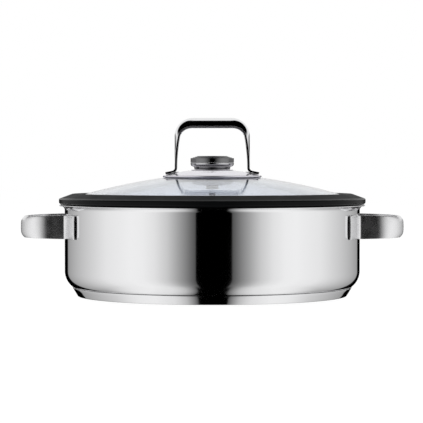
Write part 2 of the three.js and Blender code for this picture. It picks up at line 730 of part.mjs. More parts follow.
function thermometerBezel() {
  const bottom = CASE_TOP + FACE_GAP;
  const ledgeTop = domeTop(LENS_SEAT_R) - LENS_THICKNESS - SEAT_GAP;
  const ledgeR = LENS_SEAT_R - BEZEL_LEDGE;
  const middleR = (BEZEL_INNER_R + LENS_SEAT_R) / 2;
  return revolveRing([
    [BEZEL_INNER_R, bottom],
    [KNOB_R, bottom],
    [KNOB_R, BEZEL_TOP - BEZEL_EDGE],
    [KNOB_R - BEZEL_EDGE / 3, BEZEL_TOP - BEZEL_EDGE / 2],
    [KNOB_R - BEZEL_EDGE, BEZEL_TOP - BEZEL_EDGE / 6],
    [middleR, domeTop(middleR)],
    [LENS_SEAT_R, domeTop(LENS_SEAT_R)],
    [LENS_SEAT_R, ledgeTop],
    [ledgeR, ledgeTop],
    [ledgeR, ledgeTop - BEZEL_LEDGE_THICKNESS],
    [BEZEL_INNER_R, ledgeTop - BEZEL_LEDGE_THICKNESS - BEZEL_LEDGE],
  ], KNOB_FACETS);
}

function thermometerLens() {
  const radii = steps(0, LENS_R, LENS_STEPS);
  const top = radii.map((radius) => [radius, domeTop(radius)]);
  const bottom = radii.map((radius) => [radius, domeTop(radius) - LENS_THICKNESS]);
  return revolve([...bottom, ...top.reverse()], KNOB_FACETS);
}

function thermometerPointer() {
  const shape = new THREE.Shape();
  shape.moveTo(-POINTER_TAIL, -POINTER_HALF_WIDTH);
  shape.lineTo(0, -HUB_R);
  shape.lineTo(HUB_R, -POINTER_HALF_WIDTH);
  shape.lineTo(POINTER_LENGTH, 0);
  shape.lineTo(HUB_R, POINTER_HALF_WIDTH);
  shape.lineTo(0, HUB_R);
  shape.lineTo(-POINTER_TAIL, POINTER_HALF_WIDTH);
  return extrude(shape, POINTER_THICKNESS);
}

function thermometerShaft() {
  const bottom = -STEM_DEPTH + STEM_TIP + SEAT_GAP;
  const top = POINTER_Z - FACE_GAP;
  return revolve([[0, bottom], [SHAFT_R, bottom], [SHAFT_R, top], [0, top]], SMALL_FACETS / 2);
}

function thermometerStem() {
  const bottom = -STEM_DEPTH;
  return revolve([
    [0, bottom],
    [STEM_POINT_R, bottom + STEM_POINT],
    [STEM_TIP_R, bottom + STEM_TIP],
    [STEM_R, bottom + STEM_TIP + STEM_TAPER],
    [STEM_R, CASE_FLOOR],
    [STEM_BORE_R, CASE_FLOOR],
    [STEM_BORE_R, bottom + STEM_TIP],
    [0, bottom + STEM_TIP],
  ], SMALL_FACETS);
}

// The bimetal strip is wound as a helix between the shaft and the bore.
function thermometerCoil() {
  const radius = STEM_BORE_R - SEAT_GAP - COIL_WIRE_R;
  const bottom = -STEM_DEPTH + STEM_TIP + 2 * SEAT_GAP;
  class Helix extends THREE.Curve {
    getPoint(share) {
      const angle = share * COIL_TURNS * Math.PI * 2;
      const height = bottom + share * COIL_TURNS * COIL_PITCH;
      return new THREE.Vector3(radius * Math.cos(angle), radius * Math.sin(angle), height);
    }
  }
  const corners = steps(0, Math.PI * 2, COIL_SIDES).slice(0, COIL_SIDES);
  const section = new THREE.Shape(corners.map(
    (angle) => new THREE.Vector2(COIL_WIRE_R * Math.cos(angle), COIL_WIRE_R * Math.sin(angle)),
  ));
  const options = { steps: COIL_TURNS * COIL_STEPS, extrudePath: new Helix(), bevelEnabled: false };
  return closedBody(new THREE.ExtrudeGeometry(section, options));
}

// Clamping stack through the glass, with heights in the lid

// A silicone disc between glass and plate, with an underside that follows the glass.
function lidUpperSeal() {
  const top = PLATE_LAND_Z - PLATE_SHEET - FACE_GAP;
  const holeEdge = glassTop(GLASS_HOLE_R) + SEAT_GAP;
  return revolveRing([
    [SPIGOT_HOLE_R, holeEdge],
    [GLASS_HOLE_R, holeEdge],
    [UPPER_SEAL_R, glassTop(UPPER_SEAL_R) + SEAT_GAP],
    [UPPER_SEAL_R, top],
    [SPIGOT_HOLE_R, top],
  ], SMALL_FACETS);
}

function lidNut(top) {
  const cornerR = NUT_FLATS / Math.sqrt(3);
  const corners = Array.from({ length: NUT_SIDES }, (_, i) => {
    const angle = (i / NUT_SIDES) * Math.PI * 2;
    return new THREE.Vector2(cornerR * Math.cos(angle), cornerR * Math.sin(angle));
  });
  const shape = new THREE.Shape(corners);
  shape.holes.push(circlePath(THREE.Path, 0, 0, SPIGOT_HOLE_R));
  return extrude(shape, NUT_THICKNESS, SMALL_FACETS / 2).translate(0, 0, top - NUT_THICKNESS);
}

// Assembly

function piece(parent, name, geometry, material) {
  const mesh = new THREE.Mesh(geometry, material);
  mesh.name = name;
  parent.add(mesh);
  return mesh;
}

function groupAt(parent, z) {
  const group = new THREE.Group();
  group.position.z = z;
  parent.add(group);
  return group;
}

const steamer = new THREE.Group();
piece(steamer, 'pot_shell', potShell(), polishedSteel);
piece(steamer, 'base_capsule', baseCapsule(), polishedSteel);
piece(steamer, 'base_core', baseCore(), aluminium);
piece(steamer, 'handle_right', sideHandle(), polishedSteel);
piece(steamer, 'handle_left', sideHandle(), polishedSteel).rotation.z = Math.PI;

const tray = groupAt(steamer, TRAY_Z);
piece(tray, 'tray_wall', trayWall(), satinSteel);
piece(tray, 'tray_floor', trayFloor(), satinSteel).position.z = TRAY_SHEET + FACE_GAP;
for (let i = 0; i < FOOT_COUNT; i += 1) {
  const angle = (i / FOOT_COUNT) * Math.PI * 2 + Math.PI / 2;
  const foot = piece(tray, `tray_foot_${i + 1}`, trayFoot(), satinSteel);
  foot.position.set(FOOT_PITCH_R * Math.cos(angle), FOOT_PITCH_R * Math.sin(angle), SEAT_GAP - TRAY_STAND);
}
for (const [side, sign] of [['right', 1], ['left', -1]]) {
  const bailMesh = piece(tray, `tray_bail_${side}`, bail(), polishedSteel);
  bailMesh.position.set(sign * BAIL_X, 0, BAIL_Z);
  bailMesh.rotation.z = sign > 0 ? 0 : Math.PI;
  for (const [end, endSign] of [['front', -1], ['back', 1]]) {
    const clip = piece(tray, `tray_saddle_${side}_${end}`, saddle(), satinSteel);
    clip.position.set(sign * BAIL_X, endSign * saddleOffsetY(), TRAY_FLOOR_TOP + FACE_GAP);
  }
}

const lid = groupAt(steamer, LID_Z);
piece(lid, 'lid_glass', lidGlass(), clearGlass);
piece(lid, 'lid_seal', lidSeal(), blackSilicone);
piece(lid, 'lid_plate', lidPlate(), satinSteel);
piece(lid, 'lid_plate_gasket', lidPlateGasket(), blackSilicone);
piece(lid, 'lid_handle', lidHandle(), polishedSteel);

const grommetZ = glassBottom(LOWER_SEAL_R) + FACE_GAP;
const lowerSealZ = glassBottom(LOWER_SEAL_R) - SEAT_GAP - LOWER_SEAL_THICKNESS;
const lidWasherZ = lowerSealZ - FACE_GAP - LID_WASHER_THICKNESS;
const clampRing = (outerR, bottom, thickness) =>
  flatRing(SPIGOT_HOLE_R, outerR, bottom, thickness, SMALL_FACETS);
piece(lid, 'lid_upper_seal', lidUpperSeal(), clearSilicone);
piece(lid, 'lid_grommet', clampRing(GROMMET_R, grommetZ, glassTop(GLASS_HOLE_R) - grommetZ), clearSilicone);
piece(lid, 'lid_lower_seal', clampRing(LOWER_SEAL_R, lowerSealZ, LOWER_SEAL_THICKNESS), clearSilicone);
piece(lid, 'lid_washer', clampRing(LID_WASHER_R, lidWasherZ, LID_WASHER_THICKNESS), polishedSteel);
piece(lid, 'lid_nut', lidNut(lidWasherZ - FACE_GAP), polishedSteel);

const thermometer = groupAt(lid, PLATE_LAND_Z);
const washer = flatRing(SPIGOT_HOLE_R, WASHER_R, FACE_GAP, WASHER_THICKNESS, KNOB_FACETS);
const dialBore = SHAFT_R + SEAT_GAP;
piece(thermometer, 'thermometer_washer', washer, satinSteel);
piece(thermometer, 'thermometer_case', thermometerCase(), darkSteel);
piece(thermometer, 'thermometer_bezel', thermometerBezel(), darkSteel);
piece(thermometer, 'thermometer_lens', thermometerLens(), clearGlass);
const dial = flatRing(dialBore, DIAL_R, DIAL_Z, DIAL_THICKNESS, KNOB_FACETS);
piece(thermometer, 'thermometer_dial', dial, dialWhite);
piece(thermometer, 'thermometer_stem', thermometerStem(), polishedSteel);
piece(thermometer, 'thermometer_coil', thermometerCoil(), bimetal);
piece(thermometer, 'thermometer_shaft', thermometerShaft(), polishedSteel);
const pointer = piece(thermometer, 'thermometer_pointer', thermometerPointer(), pointerBlack);
pointer.position.z = POINTER_Z;
pointer.rotation.z = Math.PI;

export default steamer;
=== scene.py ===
"""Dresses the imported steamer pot: spun steel, glass lid, silicone rim, lid thermometer and steaming tray.

Everything is in metres in the frame's axes: +Z up, +X towards the right side handle, -Y towards the camera.
"""

import json
import math

import bmesh
import bpy
from bpy.props import FloatProperty, FloatVectorProperty, IntProperty, PointerProperty
from bpy.types import Operator, Panel, PropertyGroup
from mathutils import Matrix, Vector


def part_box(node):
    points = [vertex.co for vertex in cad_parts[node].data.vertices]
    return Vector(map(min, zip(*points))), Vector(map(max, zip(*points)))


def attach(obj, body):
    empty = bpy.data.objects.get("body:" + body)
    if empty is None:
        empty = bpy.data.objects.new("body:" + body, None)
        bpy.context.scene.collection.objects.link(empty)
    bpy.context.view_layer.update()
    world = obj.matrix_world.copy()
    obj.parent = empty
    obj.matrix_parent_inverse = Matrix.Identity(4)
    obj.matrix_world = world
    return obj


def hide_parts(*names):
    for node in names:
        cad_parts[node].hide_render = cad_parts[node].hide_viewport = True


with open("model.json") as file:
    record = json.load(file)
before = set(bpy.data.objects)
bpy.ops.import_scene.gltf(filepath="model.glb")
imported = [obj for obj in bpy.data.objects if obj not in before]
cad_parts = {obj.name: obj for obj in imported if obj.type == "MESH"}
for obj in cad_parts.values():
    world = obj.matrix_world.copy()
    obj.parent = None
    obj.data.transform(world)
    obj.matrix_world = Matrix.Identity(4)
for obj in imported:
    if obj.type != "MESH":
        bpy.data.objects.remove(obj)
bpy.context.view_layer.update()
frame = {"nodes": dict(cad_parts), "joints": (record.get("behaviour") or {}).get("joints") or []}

bl_info = {
    "name": "Steamer pot",
    "version": (1, 0, 0),
    "blender": (4, 5, 0),
    "location": "View3D > Sidebar > Steamer",
    "description": "Builds the visible pieces of a steamer pot on its packed frame",
    "category": "Object",
}

MM = 0.001

# Gaps at curved or welded seats and at flat faces
SEAT_GAP = 0.3 * MM
FACE_GAP = 0.1 * MM

# Segments round an axis
ROUND_POT = 240
ROUND_KNOB = 128
ROUND_SMALL = 64
ROUND_WIRE = 20

# Steps in a bend and in a small rounding
CORNER_STEPS = 24
EDGE_STEPS = 6

# Longest steps along a turned outline, a side handle and the lid's arch
OUTLINE_STEP = 4 * MM
HANDLE_STEP = 3 * MM
ARCH_STEP = 1.5 * MM

# Points closer than these are one, where a turned piece closes and in any finished piece
SEAM_GAP = 0.001 * MM
DOUBLE_GAP = 0.0005 * MM

SHARP_ANGLE = math.radians(40)
FULL_ROUND = 0.48  # share of a sheet's thickness that rounds its edge almost to a half circle
STRAP_EDGE = 0.4 * MM
STRAP_INNER_EDGE = 0.15 * MM
STRAP_CUT = 0.93  # cosine past which a face counts as cut edge
SKIRT_DEPTH = 4.7  # silicone skirt below the lid's seat, in millimetres


def bottom(node):
    """Lowest point of a CAD node, in millimetres."""
    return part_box(node)[0].z / MM


def top(node):
    """Highest point of a CAD node, in millimetres."""
    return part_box(node)[1].z / MM


def reach(node):
    """How far a CAD node goes along +X, in millimetres."""
    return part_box(node)[1].x / MM


def joint_place(name, axis):
    """One coordinate of a joint's axis, in millimetres."""
    joint = next(each for each in frame["joints"] if each["name"] == name)
    return joint["pos_m"][axis] / MM


def linear(hex_colour):
    """Linear red, green and blue of an sRGB hex value."""
    channels = [int(hex_colour[i:i + 2], 16) / 255 for i in (0, 2, 4)]
    return tuple(c / 12.92 if c <= 0.04045 else ((c + 0.055) / 1.055) ** 2.4 for c in channels)


def length(name, description, millimetres):
    """A length that a user may change."""
    return FloatProperty(name=name, description=description, default=millimetres * MM, unit="LENGTH")


def bearing(name, description, degrees):
    """An angle that a user may change."""
    return FloatProperty(name=name, description=description, default=math.radians(degrees), subtype="ANGLE")


def amount(name, description, value, **kind):
    """A number that a user may change, with its unit or subtype where one fits."""
    return FloatProperty(name=name, description=description, default=value, **kind)


def colour(name, description, hex_colour):
    """A colour that a user may change."""
    return FloatVectorProperty(
        name=name, description=description, default=linear(hex_colour), subtype="COLOR", size=3, min=0, max=1
    )


# Sizes and colours


class PotSizes(PropertyGroup):
    """The drawn shell and the capsule under it."""

    rim_radius: length("Rim radius", "Tip of the pouring rim", reach("pot_shell"))
    rim_height: length("Rim height", "Top of the pouring rim", top("pot_shell"))
    floor_height: length("Floor height", "Underside of the drawn floor", bottom("pot_shell"))
    sheet: length("Sheet", "Thickness of the drawn sheet", 1)
    corner_radius: length("Corner radius", "Outside of the rounded bottom corner", 18.5)
    flare_radius: length("Flare radius", "Outside of the rim's flare", 4)
    lip: length("Lip", "Flat part of the rim past its flare", 1)
    base_radius: length("Base radius", "Foot of the slanted capsule", 128.5)
    base_edge: length("Base edge", "Rounding of the capsule's foot", 1.1)
    base_recess_radius: length("Recess radius", "Shallow recess in the middle of the underside", 62)
    base_recess: length("Recess depth", "How far the middle of the underside is set up", 0.25)
    seam_height: length("Seam height", "Upper edge of the capsule", top("base_capsule"))
    capsule_sheet: length("Capsule sheet", "Thickness of the capsule", 0.9)
    capsule_edge: length("Capsule edge", "Rounding of the capsule's upper edge", 0.3)


class SideHandleSizes(PropertyGroup):
    """The crowned strap loops on the pot's sides."""

    reach: length("Reach", "Outer face of the bar, from the pot's axis", reach("handle_right"))
    width: length("Width", "Across the two arms", 84)
    height: length("Height", "Middle of the strap", (top("handle_right") + bottom("handle_right")) / 2)
    foot_width: length("Foot width", "Strap at the wall", top("handle_right") - bottom("handle_right"))
    bar_width: length("Bar width", "Strap at the bar", 19.9)
    foot_crown: length("Foot crown", "Bulge of the strap at the wall", 0.4)
    bar_crown: length("Bar crown", "Bulge of the strap at the bar", 3.4)
    crown_power: amount("Crown power", "How late the bulge falls off across the strap", 4)
    crown_growth: amount("Crown growth", "How late the bulge grows round the corner", 4)
    sheet: length("Sheet", "Thickness of the strap", 2)
    corner_radius: length("Corner radius", "Bend from arm to bar", 27.5)
    bend_radius: length("Bend radius", "Bend from foot to arm", 3)
    foot_length: length("Foot length", "Foot along the wall", 20.8)
    toe_grind: length("Toe grind", "Slant ground on the outer edge of a toe", 1)


class TraySizes(PropertyGroup):
    """The steaming tray that stands in the pot."""

    underside: length("Underside", "Underside of the ring", bottom("tray_wall"))
    rim_height: length("Rim height", "Top of the ring's rim", top("tray_wall"))
    rim_radius: length("Rim radius", "Edge of the ring's rim", reach("tray_wall"))
    rim_lip: length("Rim lip", "Width of the rim past the wall", 2.5)
    lean: length("Lean", "How far the wall leans out", 4.5)
    sheet: length("Sheet", "Thickness of the ring and the floor", 1)
    bend_radius: length("Bend radius", "Bend from flange to wall", 3)
    flange_radius: length("Flange radius", "Inner edge of the ring's flange", 104)
    floor_radius: length("Floor radius", "Edge of the perforated floor", reach("tray_floor"))
    floor_height: length("Floor height", "Underside of the perforated floor", bottom("tray_floor"))
    hole_radius: length("Hole radius", "Steam holes", 4.5)
    hole_pitch: length("Hole pitch", "From one ring of holes to the next", 28)
    hole_rings: IntProperty(name="Hole rings", description="Rings of steam holes", default=3)
    holes_per_ring: IntProperty(name="Holes per ring", description="Holes that each ring adds", default=6)
    foot_bottom_radius: length("Foot bottom radius", "Foot where it stands", 4.5)
    foot_top_radius: length("Foot top radius", "Foot where it is welded", 6)
    foot_edge: length("Foot edge", "Rounding of the foot", 1)


class BailSizes(PropertyGroup):
    """The wire bails of the tray and their saddles."""

    hinge_x: length("Hinge place", "Hinge line from the pot's axis", joint_place("bail_right_swing", 0))
    hinge_z: length("Hinge height", "Hinge line above the hob", joint_place("bail_right_swing", 2))
    wire_radius: length("Wire radius", "Round wire of the bail", 1.75)
    width: length("Width", "Across the bail", 70)
    reach: length("Reach", "From the hinge line to the grip", 36)
    corner_radius: length("Corner radius", "Bends at the grip", 10)
    end_bend_radius: length("End bend radius", "Bends at the hinge line", 4)
    stub: length("Stub", "Wire past the saddle", 3)
    saddle_length: length("Saddle length", "Saddle along the wire", 6)
    saddle_sheet: length("Saddle sheet", "Thickness of the saddle", 1)
    saddle_foot: length("Saddle foot", "Foot of the saddle past its arch", 4)
    saddle_clearance: length("Saddle clearance", "Along the wire", 0.5)
    saddle_edge: length("Saddle edge", "Rounding of the saddle's edges", 0.25)


class LidSizes(PropertyGroup):
    """The domed glass, its silicone rim, the plate and the arch."""

    seat: length("Seat", "Underside of the silicone rim's flange", bottom("lid_seal") + SKIRT_DEPTH)
    glass_radius: length("Glass radius", "Edge of the glass", reach("lid_glass"))
    glass_thickness: length("Glass thickness", "Tempered glass", 4)
    glass_curve: length("Glass curve", "Radius of the dome's section", 600)
    glass_offset: length("Glass offset", "How far that section's middle lies past the axis", 38)
    glass_edge: length("Glass edge", "Upper edge of the glass above the seat", 6.35)
    glass_hole: length("Glass hole", "Radius of the hole for the thermometer", 8.5)
    seal_radius: length("Seal radius", "Outside of the silicone rim", reach("lid_seal"))
    seal_grip: length("Seal grip", "Silicone over the glass", 9.4)
    seal_lower_grip: length("Seal lower grip", "Silicone under the glass", 5)
    seal_slope: length("Seal slope", "Width of the sloping shoulder", 12.9)
    seal_lip: length("Seal lip", "Thickness over the glass", 0.9)
    seal_lower_lip: length("Seal lower lip", "Thickness under the glass", 2)
    seal_chamfer: length("Seal chamfer", "Slanted lower edge", 1.8)
    seal_side: length("Seal side", "Top of the upright side", 5.6)
    seal_rounding: length("Seal rounding", "Rounded edges of the rim", 1.4)
    skirt_radius: length("Skirt radius", "Outside of the skirt in the pot's mouth", 138.4)
    skirt_thickness: length("Skirt thickness", "Silicone skirt", 3)
    skirt_depth: length("Skirt depth", "Skirt below the seat", SKIRT_DEPTH)
    plate_radius: length("Plate radius", "Edge of the pressed saucer", reach("lid_plate"))
    plate_land_radius: length("Land radius", "Flat middle of the saucer", 20.2)
    plate_land: length("Land height", "Top of the saucer's flat middle", top("lid_plate"))
    plate_rise: length("Plate rise", "Fall of the saucer to its rim", 5)
    plate_sheet: length("Plate sheet", "Thickness of the saucer", 0.9)
    plate_hem: length("Plate hem", "How far the rim is turned down", 0.85)
    plate_crown: amount("Plate crown", "Curved share of the fall", 0.42, subtype="FACTOR")
    gasket_width: length("Gasket width", "Gasket under the saucer's rim", 6)
    gasket_inset: length("Gasket inset", "How far the gasket stands back from the saucer's rim", 1.8)
    gasket_thickness: length("Gasket thickness", "Gasket at its edge", 0.8)
    arch_width: length("Arch width", "Across the legs of the lid handle", 71.9)
    arch_height: length("Arch height", "Grip's top above the land", top("lid_handle") - top("lid_plate"))
    arch_strap: length("Arch strap", "Width of the strap", 20)
    arch_sheet: length("Arch sheet", "Thickness of the strap", 2.2)
    arch_crown: length("Arch crown", "Bulge of the strap at the grip", 7.8)
    arch_crown_power: amount("Crown power", "How late the bulge falls off across the strap", 2)
    arch_crown_growth: amount("Crown growth", "How late the bulge grows towards the grip", 2)
    arch_corner: length("Arch corner", "Bends at the grip", 17.4)
    arch_bend: length("Arch bend", "Bends at the feet", 2.6)
    arch_toe: length("Arch toe", "End of a foot from the axis", 44.8)
    pad_length: length("Pad length", "Oval pad along the foot", 13)
    pad_width: length("Pad width", "Oval pad across the foot", 23)
    pad_thickness: length("Pad thickness", "Oval pad", 0.8)


class ThermometerSizes(PropertyGroup):
    """The dial thermometer on the lid and what clamps it."""

    washer_radius: length("Washer radius", "Thin washer on the plate", 20)
    washer_thickness: length("Washer thickness", "Thin washer on the plate", 0.5)
    neck_radius: length("Neck radius", "Neck of the case", 17.5)
    neck_height: length("Neck height", "Neck of the case", 2.8)
    neck_taper: length("Neck taper", "How far the neck draws in towards the plate", 0.6)
    knob_radius: length("Knob radius", "Case and bezel", reach("thermometer_bezel"))
    flare: length("Flare", "Height of the rounding from neck to knob", 2.8)
    case_rim: length("Case rim", "Upright rim of the case", 1.1)
    case_wall: length("Case wall", "Thickness of the case", 1.3)
    groove: length("Groove", "Shadow groove under the bezel", 0.4)
    edge: length("Edge", "Rounding of the case's edges", 0.25)
    spigot_radius: length("Spigot radius", "Threaded spigot", 6)
    spigot_depth: length("Spigot depth", "Spigot below the land", 18)
    bezel_height: length("Bezel height", "Bezel round the lens", 4.8)
    bezel_wall: length("Bezel wall", "Thickness of the bezel", 2.1)
    bezel_steps: IntProperty(name="Bezel steps", description="Turned steps of the shoulder", default=3)
    bezel_foot: length("Lowest step", "Lowest step of the shoulder below the lens's crest", 2.2)
    bezel_crest: length("Crest", "Highest step of the shoulder below the lens's crest", 0.3)
    bezel_crest_radius: length("Crest radius", "Outside of the highest step", 14.7)
    shoulder: length("Shoulder", "From the knob's side to the lens", 7.2)
    ledge: length("Ledge", "Ledge under the lens", 1.2)
    ledge_thickness: length("Ledge thickness", "Ledge under the lens", 0.8)
    lens_thickness: length("Lens thickness", "Domed lens", 1.4)
    lens_curve: length("Lens curve", "Radius of the lens", 103)
    dial_thickness: length("Dial thickness", "Enamelled dial", 0.5)
    dial_bore: length("Dial bore", "Radius of the dial's hole", 0.8)
    pointer_length: length("Pointer length", "From the axis to the point", 11)
    pointer_tail: length("Pointer tail", "Behind the axis", 4)
    pointer_width: length("Pointer width", "At the hub", 2)
    hub_radius: length("Hub radius", "Middle of the pointer", 2)
    scale_inset: length("Scale inset", "From the bezel's ledge to the rim of the scale", 0.8)
    long_mark: length("Long mark", "Length of a mark at a number", 1.8)
    long_mark_width: length("Long mark width", "Width of a mark at a number", 0.4)
    short_mark: length("Short mark", "Length of a mark between numbers", 0.9)
    short_mark_width: length("Short mark width", "Width of a mark between numbers", 0.16)
    number_inset: length("Number inset", "From the rim of the scale to the middle of a number", 3.4)
    number_size: length("Number size", "Size of the numbers' type", 2.2)
    print_thickness: length("Print thickness", "Screen printing on the dial", 0.04)
    stem_radius: length("Stem radius", "Stem in the spigot's bore", 3)
    seal_edge: length("Seal edge", "Rounding of the silicone disc under the glass", 0.5)
    washer_edge: length("Washer edge", "Rounding of the washer under that disc", 0.2)
    nut_flats: length("Nut flats", "Across the flats of the nut", 17)
    nut_chamfer: length("Nut chamfer", "Corner cut off the nut's faces", 0.7)


class Finishes(PropertyGroup):
    """Colours of the finishes."""

    mirror_steel: colour("Mirror steel", "Polished stainless steel", "F0F0F1")
    satin_steel: colour("Satin steel", "Satin stainless steel", "E4E2E9")
    pressed_steel: colour("Pressed steel", "Bright pressed stainless steel", "F2F0F8")
    sheared_steel: colour("Sheared steel", "Cut edges of the straps", "C4C3C6")
    dark_steel: colour("Dark steel", "Black-chromed steel", "7A7A7B")
    # A colour lighter than the dark steel: painted reflection of the bright saucer in the knob's lower
    # rounding
    ring_steel: colour("Ring steel", "Bright turned ring of the knob", "C4C4C6")
    glass: colour("Glass", "Tempered glass", "EFF4FB")
    silicone: colour("Silicone", "Black silicone", "0F1011")
    clear_silicone: colour("Clear silicone", "Translucent silicone", "DAD9DF")
    dial_white: colour("Dial white", "Enamel of the dial", "F1F1ED")
    print_black: colour("Print black", "Printing and pointer", "161616")
    aluminium: colour("Aluminium", "Core of the base", "C8CACC")
    bimetal: colour("Bimetal", "Coil in the stem", "B48E5A")
    floor: colour("Floor", "Paper under the pot", "F7F7F7")


class StudioSettings(PropertyGroup):
    """Camera and light."""

    distance: length("Distance", "Camera from the pot's axis", 1800)
    eye_height: length("Eye height", "Camera above the hob", 124)
    aim_height: length("Aim height", "Middle of the picture at the axis", 80.3)
    aim_side: length("Aim side", "Middle of the picture along X", -0.7)
    frame_width: length("Frame width", "Width of the picture at the axis", 405.4)
    sensor: amount("Sensor", "Width of the camera's sensor", 36, unit="CAMERA")
    floor_radius: length("Floor radius", "Paper under the pot", 8000)
    floor_drop: length("Floor drop", "How far the paper lies under the base", 0.2)
    gap_angle: bearing("Gap", "Half width of the dark gap in front", 13.7)
    gap_turn: bearing("Gap turn", "How far the gap is turned to the right", 1.3)
    ceiling_tilt: bearing("Ceiling tilt", "Edge of the dark ceiling above the backdrop's horizon", 84)
    lamp_height: length("Lamp height", "Overhead lamp above the hob", 1200)
    lamp_size: length("Lamp size", "Side of the overhead lamp", 1000)
    lamp_power: amount("Lamp power", "Overhead lamp", 7, unit="POWER")


# Node trees


def node(tree, kind, values=None, links=None, out=0, **settings):
    """Adds a node, sets its properties and socket values, links sources into its sockets, and gives one of
    its outputs, or all of them where out is None."""
    made = tree.nodes.new(kind)
    for name, value in settings.items():
        setattr(made, name, value)
    for socket, value in (values or {}).items():
        made.inputs[socket].default_value = value
    for socket, source in (links or {}).items():
        tree.links.new(source, made.inputs[socket])
    return made.outputs if out is None else made.outputs[out]


def geometry_tree(name, sockets):
    """An empty geometry tree with a geometry input, the named inputs and a geometry output."""
    tree = bpy.data.node_groups.new(name, "GeometryNodeTree")
    tree.interface.new_socket("Geometry", in_out="INPUT", socket_type="NodeSocketGeometry")
    for socket_name, kind in sockets.items():
        tree.interface.new_socket(socket_name, in_out="INPUT", socket_type=kind)
    tree.interface.new_socket("Geometry", in_out="OUTPUT", socket_type="NodeSocketGeometry")
    return tree, tree.nodes.new("NodeGroupInput").outputs


def close_tree(tree, geometry, material):
    """Ends a geometry tree with real geometry and its material."""
    real = node(tree, "GeometryNodeRealizeInstances", links={"Geometry": geometry})
    painted = node(tree, "GeometryNodeSetMaterial", links={"Geometry": real, "Material": material})
    node(tree, "NodeGroupOutput", links={"Geometry": painted}, out=None)
    return tree


def spun_outline(name):
    """Turns a row of points, radius along X and height along Z, about the Z axis."""
    tree, given = geometry_tree(name, {"Segments": "NodeSocketInt", "Finish": "NodeSocketMaterial"})
    count = node(
        tree, "GeometryNodeAttributeDomainSize", links={"Geometry": given["Geometry"]}, out="Point Count"
    )
    columns = node(tree, "ShaderNodeMath", {1: 1}, {0: given["Segments"]}, operation="ADD")
    grid = node(tree, "GeometryNodeMeshGrid", links={"Vertices X": columns, "Vertices Y": count})
    index = node(tree, "GeometryNodeInputIndex")
    row = node(tree, "FunctionNodeIntegerMath", links={0: index, 1: count}, operation="MODULO")
    column = node(tree, "FunctionNodeIntegerMath", links={0: index, 1: count}, operation="DIVIDE_FLOOR")
    place = node(tree, "GeometryNodeInputPosition")
    sample = node(
        tree, "GeometryNodeSampleIndex",
        links={"Geometry": given["Geometry"], "Value": place, "Index": row},
        data_type="FLOAT_VECTOR", domain="POINT",
    )
    outline = node(tree, "ShaderNodeSeparateXYZ", links={0: sample}, out=None)
    share = node(tree, "ShaderNodeMath", links={0: column, 1: given["Segments"]}, operation="DIVIDE")
    angle = node(tree, "ShaderNodeMath", {1: math.tau}, {0: share}, operation="MULTIPLY")
    cosine = node(tree, "ShaderNodeMath", links={0: angle}, operation="COSINE")
    sine = node(tree, "ShaderNodeMath", links={0: angle}, operation="SINE")
    x = node(tree, "ShaderNodeMath", links={0: outline["X"], 1: cosine}, operation="MULTIPLY")
    y = node(tree, "ShaderNodeMath", links={0: outline["X"], 1: sine}, operation="MULTIPLY")
    turned = node(tree, "ShaderNodeCombineXYZ", links={"X": x, "Y": y, "Z": outline["Z"]})
    placed = node(tree, "GeometryNodeSetPosition", links={"Geometry": grid, "Position": turned})
    closed = node(tree, "GeometryNodeMergeByDistance", {"Distance": SEAM_GAP}, {"Geometry": placed})
    return close_tree(tree, closed, given["Finish"])


def punched_floor(name):
    """A round sheet with a hole punched at each point of the given geometry."""
    tree, given = geometry_tree(
        name,
        {
            "Radius": "NodeSocketFloat",
            "Sheet": "NodeSocketFloat",
            "Hole radius": "NodeSocketFloat",
            "Finish": "NodeSocketMaterial",
        },
    )
    disc = node(
        tree, "GeometryNodeMeshCylinder", {"Vertices": ROUND_POT},
        {"Radius": given["Radius"], "Depth": given["Sheet"]},
    )
    punch_depth = node(tree, "ShaderNodeMath", {1: 3}, {0: given["Sheet"]}, operation="MULTIPLY")
    punch = node(
        tree, "GeometryNodeMeshCylinder", {"Vertices": ROUND_SMALL},
        {"Radius": given["Hole radius"], "Depth": punch_depth},
    )
    points = node(tree, "GeometryNodeMeshToPoints", links={"Mesh": given["Geometry"]})
    punches = node(tree, "GeometryNodeInstanceOnPoints", links={"Points": points, "Instance": punch})
    cut = node(
        tree, "GeometryNodeMeshBoolean", links={"Mesh 1": disc, "Mesh 2": punches}, operation="DIFFERENCE"
    )
    return close_tree(tree, cut, given["Finish"])


def bent_wire(name):
    """Runs a round wire along a row of joined points."""
    tree, given = geometry_tree(name, {"Wire radius": "NodeSocketFloat", "Finish": "NodeSocketMaterial"})
    path = node(tree, "GeometryNodeMeshToCurve", links={"Mesh": given["Geometry"]})
    section = node(
        tree, "GeometryNodeCurvePrimitiveCircle",
        {"Resolution": ROUND_WIRE}, {"Radius": given["Wire radius"]},
    )
    wire = node(
        tree, "GeometryNodeCurveToMesh", {"Fill Caps": True}, {"Curve": path, "Profile Curve": section}
    )
    return close_tree(tree, wire, given["Finish"])


